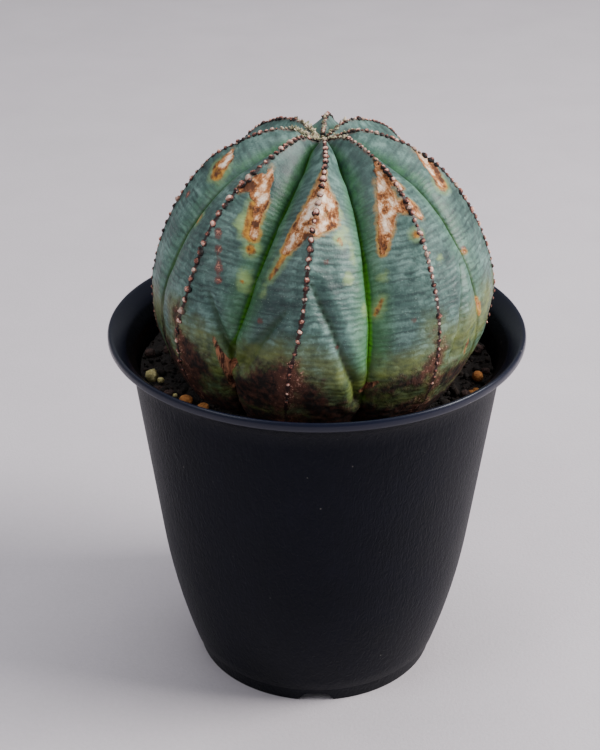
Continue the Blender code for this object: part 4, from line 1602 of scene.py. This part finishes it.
@dataclass
class NurseryPot:
    """The moulded pot: a thin cone with a rolled rim, a notched foot and a raised floor with drain holes.

    Each row of the rim's section is how far in from its edge and down from its top a point is, in lip reaches
    and lip depths, from under the lip round to the inside.
    """

    low: Vector
    high: Vector
    lip_reach: float = 4.6 * MM
    lip_depth: float = 2.3 * MM
    flare: float = 7.0 * MM
    wall: float = 1.2 * MM
    bend_height: float = 38.0 * MM
    bend_drop: float = 3.2 * MM
    foot_radius: float = 32.0 * MM
    foot_height: float = 4.8 * MM
    foot_flare: float = 0.9 * MM
    foot_ledge: float = 0.56 * MM
    foot_wall: float = 1.8 * MM
    floor_height: float = 5.2 * MM
    floor_thickness: float = 1.3 * MM
    notch_widths: tuple[float, float] = (9.6 * MM, 5.6 * MM)
    notch_height: float = 2.7 * MM
    notches: int = 3
    steps: int = 240
    rim_section: tuple[tuple[float, float], ...] = (
        (0.92, 2.3), (0.70, 1.75), (0.42, 1.28), (0.16, 1.0), (0.05, 0.92), (0.0, 0.72), (0.0, 0.36),
        (0.02, 0.16), (0.07, 0.03), (0.13, 0.0), (0.2, 0.05), (0.3, 0.2), (0.48, 0.55), (0.7, 0.96),
        (0.92, 1.5), (1.1, 2.1),
    )

    def __post_init__(self) -> None:
        """Works the body's cone out of the pot's box."""
        self.height = self.high.z - self.low.z
        self.rim_radius = (self.high.x - self.low.x) / 2
        self.body_top = self.rim_radius - self.lip_reach
        foot = self.foot_radius + self.foot_flare + self.foot_ledge
        self.slope = (self.body_top - foot - self.bend_drop) / (self.height - self.foot_height)

    def body_radius(self, height: float) -> float:
        """Outer radius of the body at a height."""
        below = max(0.0, self.bend_height - height) / (self.bend_height - self.foot_height)
        return self.body_top - self.slope * (self.height - height) - self.bend_drop * below**2

    def profile(self) -> list[tuple[float, float]]:
        """The wall's section, as radii and heights, from under the floor up and over into the inside.

        Returns:
            The section's points.
        """
        top, levels, wall = self.height, 26, self.wall
        start = top - self.flare
        foot, inner, floor = self.foot_radius, self.foot_radius - self.foot_wall, self.floor_height
        ledge = foot + self.foot_flare
        section = [
            (0.0, floor),
            (inner - 0.4 * MM, floor),
            (inner, floor - 0.4 * MM),
            (inner, 0.25 * MM),
            (inner + 0.25 * MM, 0.0),
            (foot - 0.35 * MM, 0.0),
            (foot - 0.08 * MM, 0.12 * MM),
            (foot + 0.02 * MM, 0.4 * MM),
            (ledge, self.foot_height - 0.75 * MM),
            (ledge + 0.12 * MM, self.foot_height - 0.45 * MM),
        ]
        section += [(self.body_radius(z), z) for z in np.linspace(self.foot_height, start, levels)]
        reach, depth = self.lip_reach, self.lip_depth
        section += [(self.rim_radius - share * reach, top - down * depth) for share, down in self.rim_section]
        section.append((self.body_radius(start) - wall + 0.03 * reach, top - 0.9 * self.flare))
        floor_top, corner = floor + self.floor_thickness, 1.4 * MM
        section += [(self.body_radius(z) - wall, z) for z in np.linspace(start, floor_top + corner, levels)]
        return section + [(self.body_radius(floor_top) - wall - corner, floor_top), (0.0, floor_top)]

    def cutters(self) -> list[bpy.types.Object]:
        """The bars that cut the drain notches and the drain holes.

        Returns:
            The bars.
        """
        made = []
        wide, narrow = (width / 2 for width in self.notch_widths)
        spill = (wide - narrow) / self.notch_height * MM
        for number in range(self.notches):
            bar = bmesh.new()
            bmesh.ops.create_cube(bar, size=1.0)
            for corner in bar.verts:
                low = corner.co.z < 0
                out = self.foot_radius + corner.co.x * 4 * self.foot_wall
                across = math.copysign(wide + spill if low else narrow, corner.co.y)
                corner.co = Vector((out, across, -MM if low else self.notch_height))
            turn = Matrix.Rotation(2 * math.pi * (number / self.notches - 0.25), 3, "Z")
            bmesh.ops.rotate(bar, verts=bar.verts, matrix=turn)
            bmesh.ops.bevel(bar, geom=bar.edges, offset=0.3 * MM, segments=2, affect="EDGES")
            made.append(worked_object("cutter", bar))
        # A big hole in the middle and six small ones round it.
        spots = [(7.0 * MM, 0.0, 0.0)]
        spots += [(4.0 * MM, 19.0 * MM, (turn + 0.5) * math.pi / 3) for turn in range(6)]
        for radius, reach, angle in spots:
            bar = bmesh.new()
            size = {"radius1": radius, "radius2": radius, "depth": 6 * self.floor_thickness}
            bmesh.ops.create_cone(bar, cap_ends=True, segments=40, **size)
            height = self.floor_height + self.floor_thickness / 2
            middle = (reach * math.cos(angle), reach * math.sin(angle), height)
            bmesh.ops.translate(bar, verts=bar.verts, vec=middle)
            made.append(worked_object("cutter", bar))
        return made

    def build(self) -> bpy.types.Object:
        """Makes the pot.

        Returns:
            The piece.
        """
        mesh = bpy.data.meshes.new("nursery_pot")
        points = [(radius, 0.0, height) for radius, height in reversed(self.profile())]
        mesh.from_pydata(points, [(number, number + 1) for number in range(len(points) - 1)], [])
        pot = link(bpy.data.objects.new("nursery_pot", mesh))
        screw = pot.modifiers.new("turn", "SCREW")
        screw.steps = screw.render_steps = self.steps
        screw.use_merge_vertices = True
        screw.merge_threshold = 0.01 * MM
        cutters = self.cutters()
        for cutter in cutters:
            cut = pot.modifiers.new("cut", "BOOLEAN")
            cut.operation, cut.solver, cut.object = "DIFFERENCE", "EXACT", cutter
        pot.data = evaluated(pot)
        pot.modifiers.clear()
        for cutter in cutters:
            bpy.data.objects.remove(cutter)
        pot.data.shade_smooth()
        pot.data.set_sharp_from_angle(angle=math.radians(38))
        pot.data.materials.clear()
        pot.data.materials.append(PotFinish().make())
        return settle(pot, "pot", "pot")


# ---- The potting mix and its grains --------------------------------------------------------------------


@dataclass(frozen=True)
class MixFinish:
    """Dark, damp potting mix with paler grit."""

    dark: Colour = (8, 6, 5)
    light: Colour = (40, 27, 21)
    grit: Colour = (128, 104, 82)

    def make(self, name: str, lift: float = 0.0) -> bpy.types.Material:
        """Builds the material, with crumbs lifted towards the light colour.

        Args:
            name: The material's name.
            lift: How much paler crumbs are. At 0 it isn't for crumbs.

        Returns:
            The material.
        """
        paint = Paint(name)
        lumps = paint.clouds(0.8, 5.0, 0.7)
        grit = paint.clouds(3.5, 3.0, 0.6)
        tone = lumps * 0.6 + grit * 0.4 + lift
        if lift:
            tone = tone + (paint.mark("tone") - 0.5) * 0.5
        colour = paint.ramp(tone, (0.34, self.dark), (0.8, self.light))
        colour = paint.mix(grit.rise(0.7, 0.8) * 0.4, colour, self.grit)
        return paint.finish(colour, 0.9, lumps * 0.6 + grit * 0.4, 0.5)


@dataclass
class PottingMix:
    """The mix's crumbly top, between the plant and the pot's wall, and the crumbs that lie on it.

    The mound is a low heap against the plant: its azimuth and spread in degrees, and its height.
    """

    form: RibbedForm
    low: Vector
    high: Vector
    columns: int = 320
    rings: int = 22
    roughness: float = 0.8 * MM
    bury: float = 1.8 * MM
    mound: tuple[float, float, float] = (-50.0, 18.0, 1.9 * MM)
    crumbs: int = 1400
    crumb_seed: int = 21

    def ring_points(self) -> tuple[np.ndarray, np.ndarray]:
        """The inner and outer edges of the top, in the plane, column by column.

        Returns:
            The inner and the outer points.
        """
        s = np.linspace(9, 15, 400)
        inner = []
        for column in range(self.columns):
            points = self.form.surface(s, column * len(self.form.lines) / self.columns, -self.bury)[0]
            inner.append(points[np.argmin(np.abs(points[:, 2] - self.high.z))][:2])
        inner = np.array(inner)
        reach = (self.high.x - self.low.x) / 2
        return inner, inner / np.linalg.norm(inner, axis=1, keepdims=True) * reach

    def top(self, x: float, y: float) -> float:
        """Height of the mix's rough top, with its mound.

        Args:
            x: Place to the right of the axis.
            y: Place behind the axis.

        Returns:
            The height.
        """
        azimuth, spread, heap = self.mound
        turn = (math.degrees(math.atan2(x, -y)) - azimuth) / spread
        lift = clay(Vector((x, y, 0.0)), 260.0) * 0.9 + clay(Vector((x, y, 4.0)), 800.0, 2) * 0.5
        return self.high.z + self.roughness * (0.75 + lift) + heap * bell(turn)

    def build(self) -> bpy.types.Object:
        """Makes the crust of mix: a closed ring with a rough top, which lies on the body of the mix.

        Returns:
            The piece.
        """
        inner, outer = self.ring_points()
        corners = []
        for ring in range(self.rings):
            flat = outer + (inner - outer) * ring / (self.rings - 1)
            corners += [(x, y, self.top(x, y)) for x, y in flat]
        base = self.high.z + 0.03 * MM
        corners += [(x, y, base) for x, y in (*inner, *outer)]
        faces = tube_faces(self.rings + 2, self.columns)
        last = (self.rings + 1) * self.columns
        for column in range(self.columns):
            after = (column + 1) % self.columns
            faces.append((last + column, column, after, last + after))
        crust = shape_object("mix_crust", corners, [face[::-1] for face in faces])
        mend(crust.data)
        crust.data.materials.append(MixFinish().make("mix_surface"))
        return settle(crust, "potting_mix")

    def crumb_shape(self, number: int) -> bpy.types.Object:
        """One crumb, a millimetre in radius. The first is rounder than the others.

        Args:
            number: Which of the shapes it is.

        Returns:
            The shape.
        """
        ball = bmesh.new()
        bmesh.ops.create_icosphere(ball, subdivisions=2 if number == 0 else 1, radius=MM)
        for corner in ball.verts:
            way = corner.co / MM
            lump = 1 + 0.35 * clay(way + Vector((3.0 * number, 0, 0)), 1.3)
            corner.co = Vector((way.x * 1.1, way.y * 0.85, way.z * 0.7)) * lump * MM
        return worked_object(f"crumb_{number}", ball)

    def build_crumbs(self) -> bpy.types.Object:
        """Scatters crumbs over the crust.

        Returns:
            The piece.
        """
        inner, outer = self.ring_points()
        chance = np.random.default_rng(self.crumb_seed)
        spots = Spots()
        for _ in range(self.crumbs):
            column = chance.integers(self.columns)
            size = 0.3 + 0.95 * chance.random() ** 3
            x, y = outer[column] + (inner[column] - outer[column]) * chance.uniform(0.03, 0.93)
            way = Vector((*chance.normal(0, 0.5, 2), 1.0)).normalized()
            spots.add(Vector((x, y, self.top(x, y) + 0.25 * MM * size)), way, size)
        shapes = [self.crumb_shape(number) for number in range(4)]
        finish = MixFinish().make("mix_crumbs", 0.12)
        return settle(Scatter("mix_crumbs", 1.0, 0.3, 1.2).build(spots, shapes, finish), "potting_mix")


def mend(mesh: bpy.types.Mesh) -> None:
    """Merges a mesh's doubles and turns its faces outwards.

    Args:
        mesh: The mesh.
    """
    work = bmesh.new()
    work.from_mesh(mesh)
    bmesh.ops.remove_doubles(work, verts=work.verts, dist=1e-7)
    bmesh.ops.recalc_face_normals(work, faces=work.faces)
    work.to_mesh(mesh)
    work.free()
    mesh.shade_smooth()


@dataclass(frozen=True)
class StoneFinish:
    """A stone: its colours, its relief in millimetres, how lumpy it is and how strong its pits are.

    The pits are darkened with painted shade.
    """

    dark: Colour
    light: Colour
    depth: float
    lumpiness: float
    pits: float

    def make(self, name: str) -> bpy.types.Material:
        """Builds the material.

        Args:
            name: The material's name.

        Returns:
            The material.
        """
        paint = Paint(name)
        lumps = paint.clouds(0.7, 4.0, 0.65)
        grit = paint.clouds(4.0, 3.0, 0.65)
        holes = paint.cells(2.6).rise(0.28, 0.1) * self.pits
        colour = paint.ramp(lumps * 0.6 + grit * 0.4, (0.34, self.dark), (0.66, self.light))
        # Painted shade in the pits.
        colour = paint.mix(holes, colour, tuple(part * 0.55 for part in self.dark))
        return paint.finish(colour, 0.88, grit * 0.5 + lumps * 0.3 + (1 - holes) * 0.6, self.depth)


class GrainKind(Enum):
    """The kinds of loose grains, by the names of their nodes and slots."""

    pumice = StoneFinish((150, 134, 62), (226, 214, 158), 0.30, 0.16, 0.5)
    baked_clay = StoneFinish((128, 66, 24), (214, 144, 74), 0.18, 0.10, 0.25)
    lava = StoneFinish((30, 21, 20), (84, 58, 52), 0.40, 0.20, 0.6)

    @property
    def material(self) -> bpy.types.Material:
        """The kind's material, made once."""
        name = self.name + "_stone"
        return bpy.data.materials.get(name) or self.value.make(name)


def stone_object(name: str, kind: GrainKind, low: Vector, high: Vector, seed: Vector) -> bpy.types.Object:
    """A lumpy, pitted stone that fills a box.

    Args:
        name: The object's name.
        kind: The kind of stone.
        low: The box's lowest corner.
        high: The box's highest corner.
        seed: Where the stone's lumps are read, so that no two stones match.

    Returns:
        The stone.
    """
    lumpiness = kind.value.lumpiness
    ball = bmesh.new()
    bmesh.ops.create_icosphere(ball, subdivisions=4, radius=1.0)
    for corner in ball.verts:
        way = corner.co.copy()
        lump = 1 + lumpiness * clay(way + seed, 1.1) + 0.4 * lumpiness * clay(way + seed, 3.4)
        square = max(abs(way.x), abs(way.y), abs(way.z))
        corner.co = way * lump * (1 + 0.25 * (1 - square))
    points = np.array([tuple(corner.co) for corner in ball.verts])
    lowest, highest = points.min(0), points.max(0)
    fitted = np.array(low) + (points - lowest) / (highest - lowest) * (np.array(high) - np.array(low))
    for corner, point in zip(ball.verts, fitted):
        corner.co = Vector(point)
    stone = worked_object(name, ball)
    stone.data.shade_smooth()
    stone.data.materials.append(kind.material)
    return stone


@dataclass
class Grain:
    """A loose grain, which fills its node's box."""

    node: str

    def build(self) -> bpy.types.Object:
        """Makes the grain.

        Returns:
            The piece.
        """
        kind = GrainKind[self.node.rsplit("_grain_", 1)[0]]
        low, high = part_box(self.node)
        seed = Vector((float(sum(map(ord, self.node))), low.x / MM, low.y / MM))
        return settle(stone_object(self.node + "_stone", kind, low, high, seed), kind.name, self.node)


@dataclass(frozen=True)
class Pebble:
    """A small loose stone on the mix. Its azimuth is in degrees, and its other sizes are in millimetres."""

    kind: GrainKind
    azimuth: float
    reach: float
    height: float
    radius: float

    def build(self, number: int) -> bpy.types.Object:
        """Makes the pebble.

        Args:
            number: The pebble's number, which sets its lumps.

        Returns:
            The piece.
        """
        angle = math.radians(self.azimuth)
        middle = Vector((self.reach * math.sin(angle), -self.reach * math.cos(angle), self.height)) * MM
        half = Vector((1.0, 0.9, 0.8)) * (self.radius * MM)
        seed = Vector((number, 3.0, 0.0))
        stone = stone_object(f"pebble_{number}", self.kind, middle - half, middle + half, seed)
        return settle(stone, self.kind.name)


PEBBLES = (
    Pebble(GrainKind.baked_clay, -51.0, 40.6, 86.3, 1.7),
    Pebble(GrainKind.baked_clay, -43.6, 39.6, 86.1, 1.45),
    Pebble(GrainKind.pumice, -57.0, 41.0, 86.0, 0.6),
    Pebble(GrainKind.pumice, -70.6, 40.9, 85.5, 0.9),
    Pebble(GrainKind.lava, -60.0, 41.6, 85.4, 1.5),
    Pebble(GrainKind.lava, -66.0, 42.8, 85.0, 1.2),
    Pebble(GrainKind.lava, 62.0, 41.0, 84.6, 1.3),
    Pebble(GrainKind.baked_clay, 66.0, 42.6, 84.6, 0.9),
)


# ---- The studio ----------------------------------------------------------------------------------------


@dataclass
class Studio:
    """A plain pale floor, soft lights and the camera."""

    camera_place: tuple[float, float, float] = (-0.0042, -0.3412, 0.2591)
    camera_pitch: float = 27.72
    lens: float = 72.0
    floor_size: float = 6.0
    floor_colour: Colour = (207, 199, 205)
    sky_strength: float = 0.34

    def build(self) -> None:
        """Makes the floor, the lights, the world and the camera."""
        self.build_floor()
        self.build_lights()
        self.build_camera()

    def build_floor(self) -> None:
        """Makes the floor: a wide sheet with a slightly uneven, pale grey finish."""
        half = self.floor_size / 2
        corners = [(-half, -half, 0.0), (half, -half, 0.0), (half, half, 0.0), (-half, half, 0.0)]
        floor = shape_object("floor", corners, [(0, 1, 2, 3)])
        paint = Paint("pale_floor")
        tone = paint.clouds(0.02, 5.0, 0.6) * 0.6 + paint.clouds(0.7, 3.0, 0.6) * 0.4
        dull = tuple(part * 0.965 for part in self.floor_colour)
        colour = paint.mix(tone.rise(0.3, 0.7), dull, self.floor_colour)
        floor.data.materials.append(paint.finish(colour, 0.85, paint.clouds(1.2, 4.0), 0.1))

    def build_lights(self) -> None:
        """Makes the world's even light and the soft boxes."""
        world = bpy.data.worlds.new("studio")
        world.use_nodes = True
        sky = world.node_tree.nodes["Background"].inputs
        sky["Color"].default_value = (0.9, 0.93, 1.0, 1.0)
        sky["Strength"].default_value = self.sky_strength
        bpy.context.scene.world = world
        self.add_box("key", (0.95, -0.1, 0.75), 0.6, 24.0, (1.0, 0.985, 0.96))
        self.add_box("top", (0.0, 0.25, 1.3), 0.9, 8.0, (0.97, 0.98, 1.0))
        self.add_box("fill", (-0.75, -0.5, 0.85), 0.5, 3.6, (0.94, 0.97, 1.0))

    @staticmethod
    def add_box(name: str, place: Sequence[float], size: float, power: float, colour: Colour) -> None:
        """Makes one soft box, turned towards the plant.

        Args:
            name: The light's name.
            place: Where it stands.
            size: Its side.
            power: Its power in watts.
            colour: Its colour, from 0 to 1.
        """
        light = bpy.data.lights.new(name, "AREA")
        light.shape, light.size, light.energy, light.color = "SQUARE", size, power, colour
        obj = link(bpy.data.objects.new(name, light))
        obj.location = place
        obj.rotation_euler = (Vector((0, 0, 0.08)) - Vector(place)).to_track_quat("-Z", "Y").to_euler()

    def build_camera(self) -> None:
        """Makes the camera, which looks down on the pot from the front."""
        camera = bpy.data.cameras.new("camera")
        camera.lens = self.lens
        camera.sensor_width = 36.0
        camera.clip_start, camera.clip_end = 0.02, 20.0
        obj = link(bpy.data.objects.new("camera", camera))
        obj.location = self.camera_place
        obj.rotation_euler = (math.radians(90 - self.camera_pitch), 0.0, 0.0)
        bpy.context.scene.camera = obj


def clear_startup() -> None:
    """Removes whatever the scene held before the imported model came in."""
    kept = set(frame["nodes"].values()) | set(frame["bodies"].values())
    for obj in list(bpy.data.objects):
        if obj not in kept:
            bpy.data.objects.remove(obj)


def main() -> None:
    """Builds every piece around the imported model."""
    clear_startup()
    Studio().build()
    form = RibbedForm(*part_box("euphorbia"))
    plant = Plant(form)
    plant.build()
    plant.build_bumps()
    plant.build_flakes()
    NurseryPot(*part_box("pot")).build()
    mix = frame["nodes"]["potting_mix"]
    mix.data.materials.clear()
    mix.data.materials.append(MixFinish().make("mix_body"))
    top = PottingMix(form, *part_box("potting_mix"))
    top.build()
    top.build_crumbs()
    for node in sorted(frame["nodes"]):
        if "_grain_" in node:
            Grain(node).build()
    for number, pebble in enumerate(PEBBLES):
        pebble.build(number)


if __name__ == "__main__":
    main()
